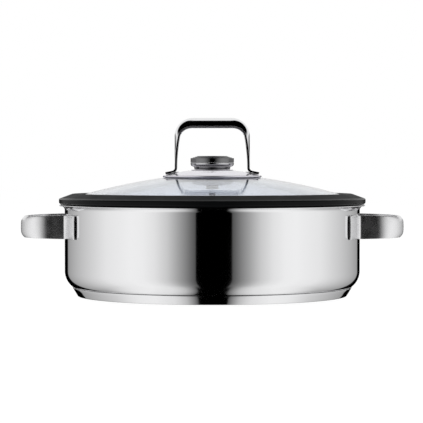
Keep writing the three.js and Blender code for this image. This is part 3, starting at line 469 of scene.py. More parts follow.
def dial_marks(name):
    """A run of marks round a dial, clockwise from the start angle. The given geometry is one mark."""
    tree, given = geometry_tree(
        name,
        {
            "Count": "NodeSocketInt",
            "Start": "NodeSocketFloat",
            "Sweep": "NodeSocketFloat",
            "Finish": "NodeSocketMaterial",
        },
    )
    line = node(tree, "GeometryNodeMeshLine", {"Offset": (0, 0, 0)}, {"Count": given["Count"]})
    index = node(tree, "GeometryNodeInputIndex")
    spaces = node(tree, "ShaderNodeMath", {1: 1}, {0: given["Count"]}, operation="SUBTRACT")
    share = node(tree, "ShaderNodeMath", links={0: index, 1: spaces}, operation="DIVIDE")
    swept = node(tree, "ShaderNodeMath", links={0: share, 1: given["Sweep"]}, operation="MULTIPLY")
    angle = node(tree, "ShaderNodeMath", links={0: given["Start"], 1: swept}, operation="SUBTRACT")
    rotation = node(tree, "ShaderNodeCombineXYZ", links={"Z": angle})
    marks = node(
        tree, "GeometryNodeInstanceOnPoints",
        links={"Points": line, "Instance": given["Geometry"], "Rotation": rotation},
    )
    return close_tree(tree, marks, given["Finish"])


# Meshes


def new_object(name, points, edges=(), faces=()):
    """A mesh object, linked to the scene."""
    mesh = bpy.data.meshes.new(name)
    mesh.from_pydata(points, edges, faces)
    made = bpy.data.objects.new(name, mesh)
    bpy.context.scene.collection.objects.link(made)
    return made


def as_plain_mesh(piece):
    """Makes what the modifiers give the object's own mesh, and removes them."""
    evaluated = piece.evaluated_get(bpy.context.evaluated_depsgraph_get())
    mesh = bpy.data.meshes.new_from_object(evaluated)
    piece.modifiers.clear()
    piece.data = mesh
    return piece


def run_tree(piece, build, inputs):
    """Runs a geometry tree, built once, with inputs given by name, and keeps the result as a plain mesh."""
    tree = bpy.data.node_groups.get(build.__name__) or build(build.__name__)
    modifier = piece.modifiers.new(tree.name, "NODES")
    modifier.node_group = tree
    for item in tree.interface.items_tree:
        if item.in_out == "INPUT" and item.name in inputs:
            modifier[item.identifier] = inputs[item.name]
    return as_plain_mesh(piece)


def smoothed(piece):
    """Closes seams, turns the faces outwards and shades the piece smooth between its sharp edges."""
    mesh = bmesh.new()
    mesh.from_mesh(piece.data)
    bmesh.ops.remove_doubles(mesh, verts=mesh.verts, dist=DOUBLE_GAP)
    bmesh.ops.recalc_face_normals(mesh, faces=mesh.faces)
    mesh.to_mesh(piece.data)
    mesh.free()
    piece.data.shade_smooth()
    piece.data.set_sharp_from_angle(angle=SHARP_ANGLE)
    return piece


def bevelled(piece, width):
    """Rounds the sharp edges of a piece."""
    bevel = piece.modifiers.new("rounded_edges", "BEVEL")
    bevel.width = width
    bevel.segments = EDGE_STEPS // 2
    bevel.limit_method = "ANGLE"
    bevel.angle_limit = SHARP_ANGLE
    return smoothed(as_plain_mesh(piece))


def steps(start, end, count):
    """Evenly spaced values from start to end."""
    return [start + (end - start) * i / count for i in range(count + 1)]


def share_between(value, low, high):
    """How far a value lies from one limit to the other, from 0 to 1."""
    return min(max((value - low) / (high - low), 0), 1)


def arc(centre_r, centre_z, radius, start, end, count=CORNER_STEPS):
    """Points on an arc, angles in degrees."""
    angles = [math.radians(a) for a in steps(start, end, count)]
    return [(centre_r + radius * math.cos(a), centre_z + radius * math.sin(a)) for a in angles]


def filleted(corners):
    """Rounds the corners of a closed outline. Each corner is across, up and its rounding."""
    points = []
    for i, (across, up, radius) in enumerate(corners):
        here = Vector((across, up))
        if radius == 0:
            points.append((across, up))
            continue
        into = (Vector(corners[i - 1][:2]) - here).normalized()
        out = (Vector(corners[(i + 1) % len(corners)][:2]) - here).normalized()
        half = into.angle(out) / 2
        centre = here + (into + out).normalized() * radius / math.sin(half)
        first = here + into * radius / math.tan(half) - centre
        last = here + out * radius / math.tan(half) - centre
        start = math.degrees(math.atan2(first.y, first.x))
        sweep = math.degrees(math.atan2(last.y, last.x)) - start
        sweep = (sweep + 180) % 360 - 180
        points += arc(centre.x, centre.y, radius, start, start + sweep, EDGE_STEPS)
    return points


def spread(outline, longest):
    """Adds points to an outline so that no step is longer than the given length."""
    points = []
    for first, second in zip(outline, outline[1:]):
        count = max(1, math.ceil(math.dist(first, second) / longest))
        points += [
            (first[0] + (second[0] - first[0]) * i / count, first[1] + (second[1] - first[1]) * i / count)
            for i in range(count)
        ]
    return points + [outline[-1]]


def spun(name, outline, segments, material):
    """A turned piece. The outline starts and ends on the axis, or where it started."""
    points = spread(outline, OUTLINE_STEP)
    piece = new_object(name, [(radius, 0, height) for radius, height in points])
    run_tree(piece, spun_outline, {"Segments": segments, "Finish": material})
    return smoothed(piece)


def spun_ring(name, corners, segments, material):
    """A turned piece from a closed section with rounded corners that stays clear of the axis."""
    outline = filleted(corners)
    return spun(name, outline + outline[:1], segments, material)


def flat_ring_corners(inner, outer, low, high, rounding):
    """Section of a flat ring with rounded corners."""
    return [(inner, low, rounding), (outer, low, rounding), (outer, high, rounding), (inner, high, rounding)]


def skinned(name, rows, materials=(), capped=True, looped=False):
    """A closed piece over rows of points. Each row goes round, and the last row may join the first."""
    count = len(rows[0])
    points = [point for row in rows for point in row]
    faces = []
    for i in range(len(rows) if looped else len(rows) - 1):
        after = (i + 1) % len(rows)
        for j in range(count):
            k = (j + 1) % count
            faces.append((i * count + j, i * count + k, after * count + k, after * count + j))
    if capped:
        faces.append(tuple(range(count)))
        faces.append(tuple(range(len(points) - count, len(points))))
    piece = new_object(name, points, faces=faces)
    for material in materials:
        piece.data.materials.append(material)
    return smoothed(piece)


def flat_piece(name, outline, low, high, materials=()):
    """A plate with the given outline across X and Y, between two heights."""
    return skinned(name, [[(x, y, z) for x, y in outline] for z in (low, high)], materials)


def turn(x, y, radius, start, end, count=CORNER_STEPS):
    """Points of an arc with the normal on the right of the way along it, angles in degrees."""
    side = 1 if end > start else -1
    points = []
    for angle in steps(math.radians(start), math.radians(end), count):
        out = Vector((math.cos(angle), math.sin(angle)))
        points.append((Vector((x, y)) + out * radius, out * side))
    return points


def filled(path, longest):
    """Adds points to a path of points and normals so that no step is longer than the given length."""
    points = []
    for (first, first_normal), (second, second_normal) in zip(path, path[1:]):
        count = max(1, math.ceil((second - first).length / longest))
        for i in range(count):
            share = i / count
            points.append((first.lerp(second, share), first_normal.lerp(second_normal, share).normalized()))
    return points + [path[-1]]


def strap_section(width, crown, power, sheet):
    """Closed section of a crowned strap with straight-cut edges: points across it and up from its face."""
    half = width / 2
    outer = [(side * half, -crown * abs(side) ** power) for side in steps(-1, 1, CORNER_STEPS)]
    inner = [(across, up - sheet) for across, up in reversed(outer)]
    corners = [(*point, 0) for point in outer + inner]
    for i in (0, CORNER_STEPS):
        corners[i] = (*outer[i], STRAP_EDGE)
        corners[i + CORNER_STEPS + 1] = (*inner[i], STRAP_INNER_EDGE)
    return [Vector(point) for point in filleted(corners)]


def strap(name, stations, power, face_material, edge_material):
    """Skins a strap. Each station gives the middle of its outer face, the way that face looks,
    the way across the strap, and its width, crown and thickness there."""
    rows = []
    for middle, outward, across, width, crown, sheet in stations:
        section = strap_section(width, crown, power, sheet)
        rows.append([middle + across * point.x + outward * point.y for point in section])
    piece = skinned(name, rows, [face_material, edge_material])
    way_across = stations[0][2]
    for face in piece.data.polygons:
        face.material_index = int(abs(face.normal.dot(way_across)) > STRAP_CUT)
    return piece


def moved(piece, x, y, z):
    """Moves a piece's mesh, so that its object stays at the origin."""
    piece.data.transform(Matrix.Translation((x, y, z)))
    return piece


def joined(name, pieces):
    """One object from several, with their materials kept."""
    materials = []
    mesh = bmesh.new()
    for piece in pieces:
        for material in piece.data.materials:
            if material not in materials:
                materials.append(material)
        before = len(mesh.faces)
        mesh.from_mesh(piece.data)
        mesh.faces.ensure_lookup_table()
        for face in mesh.faces[before:]:
            face.material_index = materials.index(piece.data.materials[face.material_index])
        bpy.data.objects.remove(piece)
    whole = new_object(name, [])
    mesh.to_mesh(whole.data)
    mesh.free()
    for material in materials:
        whole.data.materials.append(material)
    return whole


def dress(piece, body, slot, *nodes):
    """Lets a piece ride on its body, in place of its CAD nodes. The slot is not used."""
    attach(piece, body)
    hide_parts(*nodes)
    return piece


# Finishes


def finish(build):
    """The material that a finish function builds, built once."""
    name = build.__name__
    known = bpy.data.materials.get(name)
    if known:
        return known
    made = bpy.data.materials.new(name)
    made.use_nodes = True
    made.node_tree.nodes.clear()
    shader = build(made.node_tree, bpy.context.scene.steamer_finishes)
    node(made.node_tree, "ShaderNodeOutputMaterial", links={"Surface": shader}, out=None)
    return made


def paint_node(name, build):
    """Gives a CAD node that stays in view its finish."""
    for place in frame["nodes"][name].material_slots:
        place.material = finish(build)


def turning_place(tree):
    """Radius and height of a point, for marks that run round the axis."""
    place = node(tree, "ShaderNodeTexCoord", out="Object")
    flat = node(tree, "ShaderNodeVectorMath", {1: (1, 1, 0)}, {0: place}, operation="MULTIPLY")
    radius = node(tree, "ShaderNodeVectorMath", links={0: flat}, operation="LENGTH", out="Value")
    height = node(tree, "ShaderNodeSeparateXYZ", links={0: place}, out="Z")
    return node(tree, "ShaderNodeCombineXYZ", links={"X": radius, "Z": height})


def clouds(tree, size, detail, place=None):
    """Soft patches of the given size, on the piece's own coordinates unless a place is given."""
    if place is None:
        place = node(tree, "ShaderNodeTexCoord", out="Object")
    return node(tree, "ShaderNodeTexNoise", {"Scale": 1 / size, "Detail": detail}, {"Vector": place})


def uneven(tree, size, detail, between, contrast=(0.3, 0.7), place=None):
    """A value that wanders between two limits. Contrast is the part of the patches' range that is used."""
    return node(
        tree, "ShaderNodeMapRange",
        {"From Min": contrast[0], "From Max": contrast[1], "To Min": between[0], "To Max": between[1]},
        {"Value": clouds(tree, size, detail, place)},
    )


def relief(tree, size, detail, strength, depth, place=None):
    """Fine bumps of the given size and depth."""
    return node(
        tree, "ShaderNodeBump",
        {"Strength": strength, "Distance": depth}, {"Height": clouds(tree, size, detail, place)},
    )


def mirror_polished_stainless(tree, colours):
    # Drawn stainless steel buffed to a mirror: sharp clean reflections, with faint cloudy patches left by
    # the mop and very fine rings from buffing on the spindle. The rings are drawn 1.5 mm apart to show.
    roughness = uneven(tree, size=40 * MM, detail=4, between=(0.03, 0.075), contrast=(0.35, 0.7))
    rings = relief(tree, size=1.5 * MM, detail=2, strength=0.04, depth=0.01 * MM, place=turning_place(tree))
    return node(
        tree, "ShaderNodeBsdfPrincipled",
        {"Base Color": (*colours.mirror_steel, 1), "Metallic": 1}, {"Roughness": roughness, "Normal": rings},
    )


def buffed_strap_stainless(tree, colours):
    # Steel strap pressed, tumbled and buffed: as bright as the pot, with soft patches a little duller where
    # fingers and the press have been.
    roughness = uneven(tree, size=14 * MM, detail=5, between=(0.045, 0.12), contrast=(0.35, 0.72))
    ripples = relief(tree, size=5 * MM, detail=3, strength=0.06, depth=0.02 * MM)
    return node(
        tree, "ShaderNodeBsdfPrincipled",
        {"Base Color": (*colours.mirror_steel, 1), "Metallic": 1},
        {"Roughness": roughness, "Normal": ripples},
    )


def tumbled_strap_stainless(tree, colours):
    # Heavy steel strap pressed and tumbled in stones: bright but a little blurred, so that dark reflections
    # turn to soft grey.
    roughness = uneven(tree, size=9 * MM, detail=5, between=(0.24, 0.32), contrast=(0.35, 0.72))
    return node(
        tree, "ShaderNodeBsdfPrincipled",
        {"Base Color": (*colours.mirror_steel, 1), "Metallic": 1}, {"Roughness": roughness},
    )


def sheared_stainless(tree, colours):
    # Edge of the strap as it was sheared and ground: polished bright near the feet, left a blurred mid grey
    # along the grip.
    lid = bpy.context.scene.steamer_lid
    grip = lid.plate_land + lid.arch_height
    place = node(tree, "ShaderNodeTexCoord", out="Object")
    height = node(tree, "ShaderNodeSeparateXYZ", links={0: place}, out="Z")
    ground = node(
        tree, "ShaderNodeMapRange",
        {"From Min": grip - 25 * MM, "From Max": grip - 8 * MM, "To Min": 0.12, "To Max": 0.44},
        {"Value": height},
    )
    wear = uneven(tree, size=2 * MM, detail=3, between=(0.85, 1.15))
    roughness = node(tree, "ShaderNodeMath", links={0: ground, 1: wear}, operation="MULTIPLY")
    return node(
        tree, "ShaderNodeBsdfPrincipled",
        {"Base Color": (*colours.sheared_steel, 1), "Metallic": 1}, {"Roughness": roughness},
    )


def bright_pressed_stainless(tree, colours):
    # Bright-annealed sheet steel pressed between smooth tools: a pale mirror, slightly blurred, with soft
    # patches where the tools have rubbed.
    roughness = uneven(tree, size=11 * MM, detail=4, between=(0.08, 0.16), contrast=(0.35, 0.7))
    return node(
        tree, "ShaderNodeBsdfPrincipled",
        {"Base Color": (*colours.pressed_steel, 1), "Metallic": 0.6}, {"Roughness": roughness},
    )


def satin_stainless(tree, colours):
    # Stainless steel satined with abrasive on the spindle: broad soft reflections crossed by fine rings.
    # The rings are 0.3 mm apart on the real thing and are drawn 0.9 mm apart to show.
    place = turning_place(tree)
    roughness = uneven(tree, size=0.9 * MM, detail=3, between=(0.34, 0.5), place=place)
    rings = relief(tree, size=0.9 * MM, detail=3, strength=0.15, depth=0.03 * MM, place=place)
    return node(
        tree, "ShaderNodeBsdfPrincipled",
        {"Base Color": (*colours.satin_steel, 1), "Metallic": 1}, {"Roughness": roughness, "Normal": rings},
    )


def turned_steel(tree, skin):
    """Turned steel with faint turning rings, drawn 0.8 mm apart to show."""
    place = turning_place(tree)
    roughness = uneven(tree, size=0.8 * MM, detail=2, between=(0.07, 0.15), place=place)
    rings = relief(tree, size=0.8 * MM, detail=2, strength=0.08, depth=0.02 * MM, place=place)
    return node(
        tree, "ShaderNodeBsdfPrincipled",
        {"Base Color": (*skin, 1), "Metallic": 1}, {"Roughness": roughness, "Normal": rings},
    )


def black_chromed_steel(tree, colours):
    # Turned steel with a dark chrome skin: dim, sharp reflections.
    return turned_steel(tree, colours.dark_steel)


def bright_turned_steel(tree, colours):
    # Turned steel lighter than the dark chrome skin: a painted reflection of the bright saucer below, with
    # sharp reflections.
    return turned_steel(tree, colours.ring_steel)


def tempered_glass(tree, colours):
    # Pressed and tempered soda-lime glass: clear with a cool tint, hard mirror reflections at a low angle,
    # and a touch of wipe marks. Lamps shine through it.
    roughness = uneven(tree, size=30 * MM, detail=4, between=(0, 0.03), contrast=(0.45, 0.8))
    glass = node(
        tree, "ShaderNodeBsdfPrincipled",
        {"Base Color": (*colours.glass, 1), "Transmission Weight": 1, "IOR": 1.52}, {"Roughness": roughness},
    )
    clear = node(tree, "ShaderNodeBsdfTransparent", {"Color": (*colours.glass, 1)})
    shadow = node(tree, "ShaderNodeLightPath", out="Is Shadow Ray")
    return node(tree, "ShaderNodeMixShader", links={0: shadow, 1: glass, 2: clear})


def moulded_black_silicone(tree, colours):
    # Moulded silicone rubber: deep black. The sides come from a polished mould and take a dim sheen. The
    # shoulder above them comes from a blasted mould and stays a dull charcoal. The grain is drawn 0.7 mm
    # wide to show.
    lid = bpy.context.scene.steamer_lid
    shoulder = lid.seat + lid.seal_side
    place = node(tree, "ShaderNodeTexCoord", out="Object")
    height = node(tree, "ShaderNodeSeparateXYZ", links={0: place}, out="Z")
    blasted = node(
        tree, "ShaderNodeMapRange",
        {"From Min": shoulder, "From Max": shoulder + 1.5 * MM, "To Min": 0.26, "To Max": 0.58},
        {"Value": height},
    )
    wear = uneven(tree, size=25 * MM, detail=4, between=(0.92, 1.08))
    roughness = node(tree, "ShaderNodeMath", links={0: blasted, 1: wear}, operation="MULTIPLY")
    grain = relief(tree, size=0.7 * MM, detail=2, strength=0.12, depth=0.05 * MM)
    return node(
        tree, "ShaderNodeBsdfPrincipled",
        {"Base Color": (*colours.silicone, 1), "IOR": 1.43, "Specular IOR Level": 0.1},
        {"Roughness": roughness, "Normal": grain},
    )


def translucent_silicone(tree, colours):
    # Uncoloured silicone rubber: milky, with light glowing through it and a soft gloss.
    roughness = uneven(tree, size=6 * MM, detail=3, between=(0.3, 0.45))
    return node(
        tree, "ShaderNodeBsdfPrincipled",
        {"Base Color": (*colours.clear_silicone, 1), "IOR": 1.41, "Transmission Weight": 0.35},
        {"Roughness": roughness},
    )


def stoved_white_enamel(tree, colours):
    # Stove enamel on sheet: an even off-white with a slight orange-peel gloss.
    roughness = uneven(tree, size=1.2 * MM, detail=2, between=(0.28, 0.4))
    peel = relief(tree, size=1.2 * MM, detail=2, strength=0.1, depth=0.02 * MM)
    return node(
        tree, "ShaderNodeBsdfPrincipled",
        {"Base Color": (*colours.dial_white, 1)}, {"Roughness": roughness, "Normal": peel},
    )


def black_print(tree, colours):
    # Screen printing ink and stoved black: nearly matt, a little uneven in gloss.
    roughness = uneven(tree, size=2 * MM, detail=3, between=(0.45, 0.65))
    return node(
        tree, "ShaderNodeBsdfPrincipled",
        {"Base Color": (*colours.print_black, 1)}, {"Roughness": roughness},
    )


def sheet_aluminium(tree, colours):
    # Rolled aluminium as cut: grey-white, with soft gloss.
    roughness = uneven(tree, size=8 * MM, detail=3, between=(0.3, 0.45))
    return node(
        tree, "ShaderNodeBsdfPrincipled",
        {"Base Color": (*colours.aluminium, 1), "Metallic": 1}, {"Roughness": roughness},
    )


def bimetal_strip(tree, colours):
    # Bonded brass and steel strip: warm metal with heat stains.
    roughness = uneven(tree, size=2 * MM, detail=3, between=(0.25, 0.5))
    return node(
        tree, "ShaderNodeBsdfPrincipled",
        {"Base Color": (*colours.bimetal, 1), "Metallic": 1}, {"Roughness": roughness},
    )


def studio_paper(tree, colours):
    # Lit white paper: glows almost to the white of the backdrop, so that only a breath of shadow shows.
    roughness = uneven(tree, size=3 * MM, detail=2, between=(0.85, 1), contrast=(0, 1))
    dimmed = [0.25 * channel for channel in colours.floor]
    return node(
        tree, "ShaderNodeBsdfPrincipled",
        {
            "Base Color": (*dimmed, 1),
            "Specular IOR Level": 0,
            "Emission Color": (*colours.floor, 1),
            "Emission Strength": 1,
        },
        {"Roughness": roughness},
    )


# Stage


def studio_light(studio):
    """Soft panels to the left and right that stop below the ceiling, a white backdrop that starts above the
    horizon, and a dark gap in front. The camera and rays through glass see plain white."""
    world = bpy.data.worlds.new("studio")
    bpy.context.scene.world = world
    world.use_nodes = True
    tree = world.node_tree
    tree.nodes.clear()
    way = node(tree, "ShaderNodeTexCoord", out="Generated")
    turned = node(
        tree, "ShaderNodeVectorRotate", {"Axis": (0, 0, 1), "Angle": -studio.gap_turn}, {"Vector": way},
        rotation_type="AXIS_ANGLE",
    )
    x, y, z = node(tree, "ShaderNodeSeparateXYZ", links={0: turned}, out=None)
    side = node(tree, "ShaderNodeMath", links={0: x}, operation="ABSOLUTE")
    ahead = node(tree, "ShaderNodeMath", {1: -1}, {0: y}, operation="MULTIPLY")
    azimuth = node(tree, "ShaderNodeMath", links={0: side, 1: ahead}, operation="ARCTAN2")

    def band(angle, stops):
        # Brightness by angle, between stops in degrees
        share = node(tree, "ShaderNodeMath", {1: math.pi}, {0: angle}, operation="DIVIDE")
        ramp = node(tree, "ShaderNodeValToRGB", links={"Fac": share})
        elements = ramp.node.color_ramp.elements
        while len(elements) < len(stops):
            elements.new(1)
        for element, (degrees, brightness) in zip(elements, stops):
            element.position = degrees / 180
            element.color = (brightness, brightness, brightness, 1)
        return ramp

    gap = math.degrees(studio.gap_angle)
    panels = band(azimuth, [
        (0, 0), (gap, 0), (gap + 0.3, 0.09), (18, 0.175), (27, 0.4), (36, 0.665), (46, 0.86), (56, 0.955),
        (66, 0.975), (90, 0.885), (105, 0.74), (127, 0.55), (152, 0.34), (154, 0), (180, 0),
    ])
    under_ceiling = node(tree, "ShaderNodeMapRange", {"From Min": 0.45, "From Max": 0.2}, {"Value": z})
    front = node(
        tree, "ShaderNodeMix", {6: (0, 0, 0, 1)}, {0: under_ceiling, 7: panels}, data_type="RGBA", out=2
    )
    # The bright back wall starts higher towards the sides
    lift = node(
        tree, "ShaderNodeMapRange", {"From Min": 0.25, "From Max": 0.42, "To Max": 0.08}, {"Value": side}
    )
    above = node(tree, "ShaderNodeMath", links={0: z, 1: lift}, operation="SUBTRACT")
    high = node(tree, "ShaderNodeMapRange", {"From Min": 0.01, "From Max": 0.045}, {"Value": above})
    back = node(
        tree, "ShaderNodeMix", {7: (0.9, 0.9, 0.9, 1)}, {0: high, 6: panels}, data_type="RGBA", out=2
    )
    # The ceiling's dark edge comes further back towards the sides
    edge = node(
        tree, "ShaderNodeMapRange", {"From Min": 0.03, "From Max": 0.16, "To Max": 0.6}, {"Value": z}
    )
    edge_at_side = node(tree, "ShaderNodeMath", links={0: edge, 1: side}, operation="MULTIPLY")
    tilt = studio.ceiling_tilt
    straight = node(
        tree, "ShaderNodeVectorMath", {1: (0, -math.sin(tilt), math.cos(tilt))}, {0: turned},
        operation="DOT_PRODUCT", out="Value",
    )
    forward = node(tree, "ShaderNodeMath", links={0: straight, 1: edge_at_side}, operation="ADD")
    in_front = node(tree, "ShaderNodeMapRange", {"From Min": -0.03, "From Max": 0.03}, {"Value": forward})
    # White paper on the table narrows the gap the further under the pot it lies
    narrowing = node(
        tree, "ShaderNodeMapRange",
        {"From Min": -0.75, "From Max": 0.4, "To Min": 1, "To Max": 2.9}, {"Value": y},
    )
    wide = node(tree, "ShaderNodeMath", links={0: side, 1: narrowing}, operation="MULTIPLY", use_clamp=True)
    paper_angle = node(tree, "ShaderNodeMath", links={0: wide}, operation="ARCSINE")
    paper = band(paper_angle, [
        (0, 0), (gap, 0), (gap + 0.3, 0.09), (18, 0.27), (25.5, 0.56), (33, 0.72), (41, 0.83), (60, 0.9),
        (90, 0.95),
    ])
    downward = node(
        tree, "ShaderNodeMapRange", {"From Min": -0.65, "From Max": -0.9}, {"Value": z},
        interpolation_type="SMOOTHSTEP",
    )
    room = node(tree, "ShaderNodeMix", links={0: in_front, 6: back, 7: front}, data_type="RGBA", out=2)
    light = node(tree, "ShaderNodeMix", links={0: downward, 6: room, 7: paper}, data_type="RGBA", out=2)
    path = node(tree, "ShaderNodeLightPath", out=None)
    seen = node(
        tree, "ShaderNodeMath", links={0: path["Is Camera Ray"], 1: path["Is Transmission Ray"]},
        operation="MAXIMUM",
    )
    shown = node(tree, "ShaderNodeMix", {7: (1, 1, 1, 1)}, {0: seen, 6: light}, data_type="RGBA", out=2)
    backdrop = node(tree, "ShaderNodeBackground", links={"Color": shown})
    node(tree, "ShaderNodeOutputWorld", links={"Surface": backdrop}, out=None)


def overhead_light(studio):
    """A broad soft lamp above the pot that lifts what is matt. Mirrors and glass don't show it."""
    lamp = bpy.data.lights.new("overhead", "AREA")
    lamp.size = studio.lamp_size
    lamp.energy = studio.lamp_power
    overhead = bpy.data.objects.new("overhead", lamp)
    bpy.context.scene.collection.objects.link(overhead)
    overhead.location = (0, 0, studio.lamp_height)
    overhead.visible_glossy = False
    overhead.visible_transmission = False


class STEAMER_OT_stage(Operator):
    """Makes the floor, the light and the camera"""

    bl_idname = "steamer.stage"
    bl_label = "Stage"

    def execute(self, context):
        studio = context.scene.steamer_studio
        studio_light(studio)
        overhead_light(studio)
        context.scene.view_settings.view_transform = "Standard"
        circle = arc(0, 0, studio.floor_radius, 0, 360, ROUND_SMALL)[:-1]
        edge = [(x, y, -studio.floor_drop) for x, y in circle]
        floor = new_object("floor", edge, faces=[tuple(range(len(edge)))])
        floor.data.materials.append(finish(studio_paper))
        floor.visible_glossy = False
        lens = bpy.data.cameras.new("camera")
        lens.sensor_width = studio.sensor
        lens.lens = studio.sensor * studio.distance / studio.frame_width
        camera = bpy.data.objects.new("camera", lens)
        context.scene.collection.objects.link(camera)
        camera.location = (studio.aim_side, -studio.distance, studio.eye_height)
        aim = Vector((studio.aim_side, 0, studio.aim_height)) - camera.location
        camera.rotation_euler = aim.to_track_quat("-Z", "Y").to_euler()
        context.scene.camera = camera
        return {"FINISHED"}


# Pot


def wall_radius(pot):
    """Outside of the pot's straight wall."""
    return pot.rim_radius - pot.lip - pot.flare_radius


def shell_outline(pot):
    """Section of the drawn shell, from the middle of its underside to the middle of its floor."""
    outer = wall_radius(pot)
    corner = (outer - pot.corner_radius, pot.floor_height + pot.corner_radius)
    flare = (outer + pot.flare_radius, pot.rim_height - pot.sheet - pot.flare_radius)
    tip = pot.sheet / 2
    return [
        (0, pot.floor_height),
        *arc(*corner, pot.corner_radius, -90, 0),
        *arc(*flare, pot.flare_radius, 180, 90),
        *arc(pot.rim_radius - tip, pot.rim_height - tip, tip, -90, 90, EDGE_STEPS),
        *arc(*flare, pot.flare_radius + pot.sheet, 90, 180),
        *arc(*corner, pot.corner_radius - pot.sheet, 0, -90),
        (0, pot.floor_height + pot.sheet),
    ]


def capsule_outline(pot):
    """Section of the capsule, which meets the shell's rounded corner at the seam."""
    drop = pot.floor_height + pot.corner_radius - pot.seam_height
    inset = pot.corner_radius - math.sqrt(pot.corner_radius ** 2 - drop ** 2)
    seam = wall_radius(pot) - inset + SEAT_GAP
    slope = (seam + pot.capsule_sheet - pot.base_radius) / pot.seam_height
    wall = pot.capsule_sheet * math.hypot(1, slope)
    recess = pot.base_recess_radius
    return filleted([
        (0, pot.base_recess, 0),
        (recess - pot.base_recess, pot.base_recess, 0),
        (recess, 0, 0),
        (pot.base_radius, 0, pot.base_edge),
        (seam + pot.capsule_sheet, pot.seam_height, pot.capsule_edge),
        (seam, pot.seam_height, pot.capsule_edge / 3),
        (pot.base_radius + slope * pot.floor_height - wall, pot.floor_height, 0),
        (pot.base_radius + slope * pot.capsule_sheet - wall, pot.capsule_sheet, 0),
        (0, pot.capsule_sheet, 0),
    ])


class STEAMER_OT_pot(Operator):
    """Spins the pot's shell and the capsule under it"""

    bl_idname = "steamer.pot"
    bl_label = "Pot"

    def execute(self, context):
        pot = context.scene.steamer_pot
        steel = finish(mirror_polished_stainless)
        shell = spun("spun_shell", shell_outline(pot), ROUND_POT, steel)
        dress(shell, "pot", "polished_steel", "pot_shell")
        capsule = spun("spun_capsule", capsule_outline(pot), ROUND_POT, steel)
        dress(capsule, "pot", "polished_steel", "base_capsule")
        paint_node("base_core", sheet_aluminium)
        return {"FINISHED"}


def side_handle_stations(handle, pot):
    """Stations of a side handle from toe to toe: feet on the wall, bends, arms, corners and bar."""
    foot = wall_radius(pot) + SEAT_GAP + handle.sheet + handle.foot_crown
    arm = handle.width / 2
    bend_y = arm + handle.bend_radius
    bend_x = math.sqrt((foot + handle.bend_radius) ** 2 - bend_y ** 2)
    bend_angle = math.degrees(math.atan2(bend_y, bend_x))
    toe_angle = bend_angle + math.degrees(handle.foot_length / foot)
    ground_angle = toe_angle - math.degrees(handle.toe_grind / foot)
    corner_x = handle.reach - handle.corner_radius
    corner_y = arm - handle.corner_radius
    path = [
        *turn(0, 0, foot, -toe_angle, -ground_angle, 1)[:-1],
        *turn(0, 0, foot, -ground_angle, -bend_angle),
        *turn(bend_x, -bend_y, handle.bend_radius, 180 - bend_angle, 90),
        *turn(corner_x, -corner_y, handle.corner_radius, -90, 0),
        *turn(corner_x, corner_y, handle.corner_radius, 0, 90),
        *turn(bend_x, bend_y, handle.bend_radius, -90, bend_angle - 180),
        *turn(0, 0, foot, bend_angle, ground_angle),
        *turn(0, 0, foot, ground_angle, toe_angle, 1)[1:],
    ]
    stations = []
    for point, normal in filled(path, HANDLE_STEP):
        share = share_between(point.x, foot, handle.reach)
        corner_share = share_between(point.x, corner_x, handle.reach)
        run = foot * (math.radians(toe_angle) - abs(math.atan2(point.y, point.x)))
        ground = max(0, handle.toe_grind - run)
        place = point - normal * ground
        stations.append((
            Vector((place.x, place.y, handle.height)),
            Vector((normal.x, normal.y, 0)),
            Vector((0, 0, 1)),
            handle.foot_width + (handle.bar_width - handle.foot_width) * share,
            handle.foot_crown + (handle.bar_crown - handle.foot_crown) * corner_share ** handle.crown_growth,
            handle.sheet - ground,
        ))
    return stations


class STEAMER_OT_side_handles(Operator):
    """Bends the two side handles from strap"""

    bl_idname = "steamer.side_handles"
    bl_label = "Side handles"

    def execute(self, context):
        handle = context.scene.steamer_side_handles
        stations = side_handle_stations(handle, context.scene.steamer_pot)
        for side, angle in (("right", 0), ("left", math.pi)):
            piece = strap(
                f"{side}_loop", stations, handle.crown_power,
                finish(tumbled_strap_stainless), finish(sheared_stainless),
            )
            piece.data.transform(Matrix.Rotation(angle, 4, "Z"))
            dress(piece, "pot", "polished_steel", f"handle_{side}")
        return {"FINISHED"}


# Steaming tray


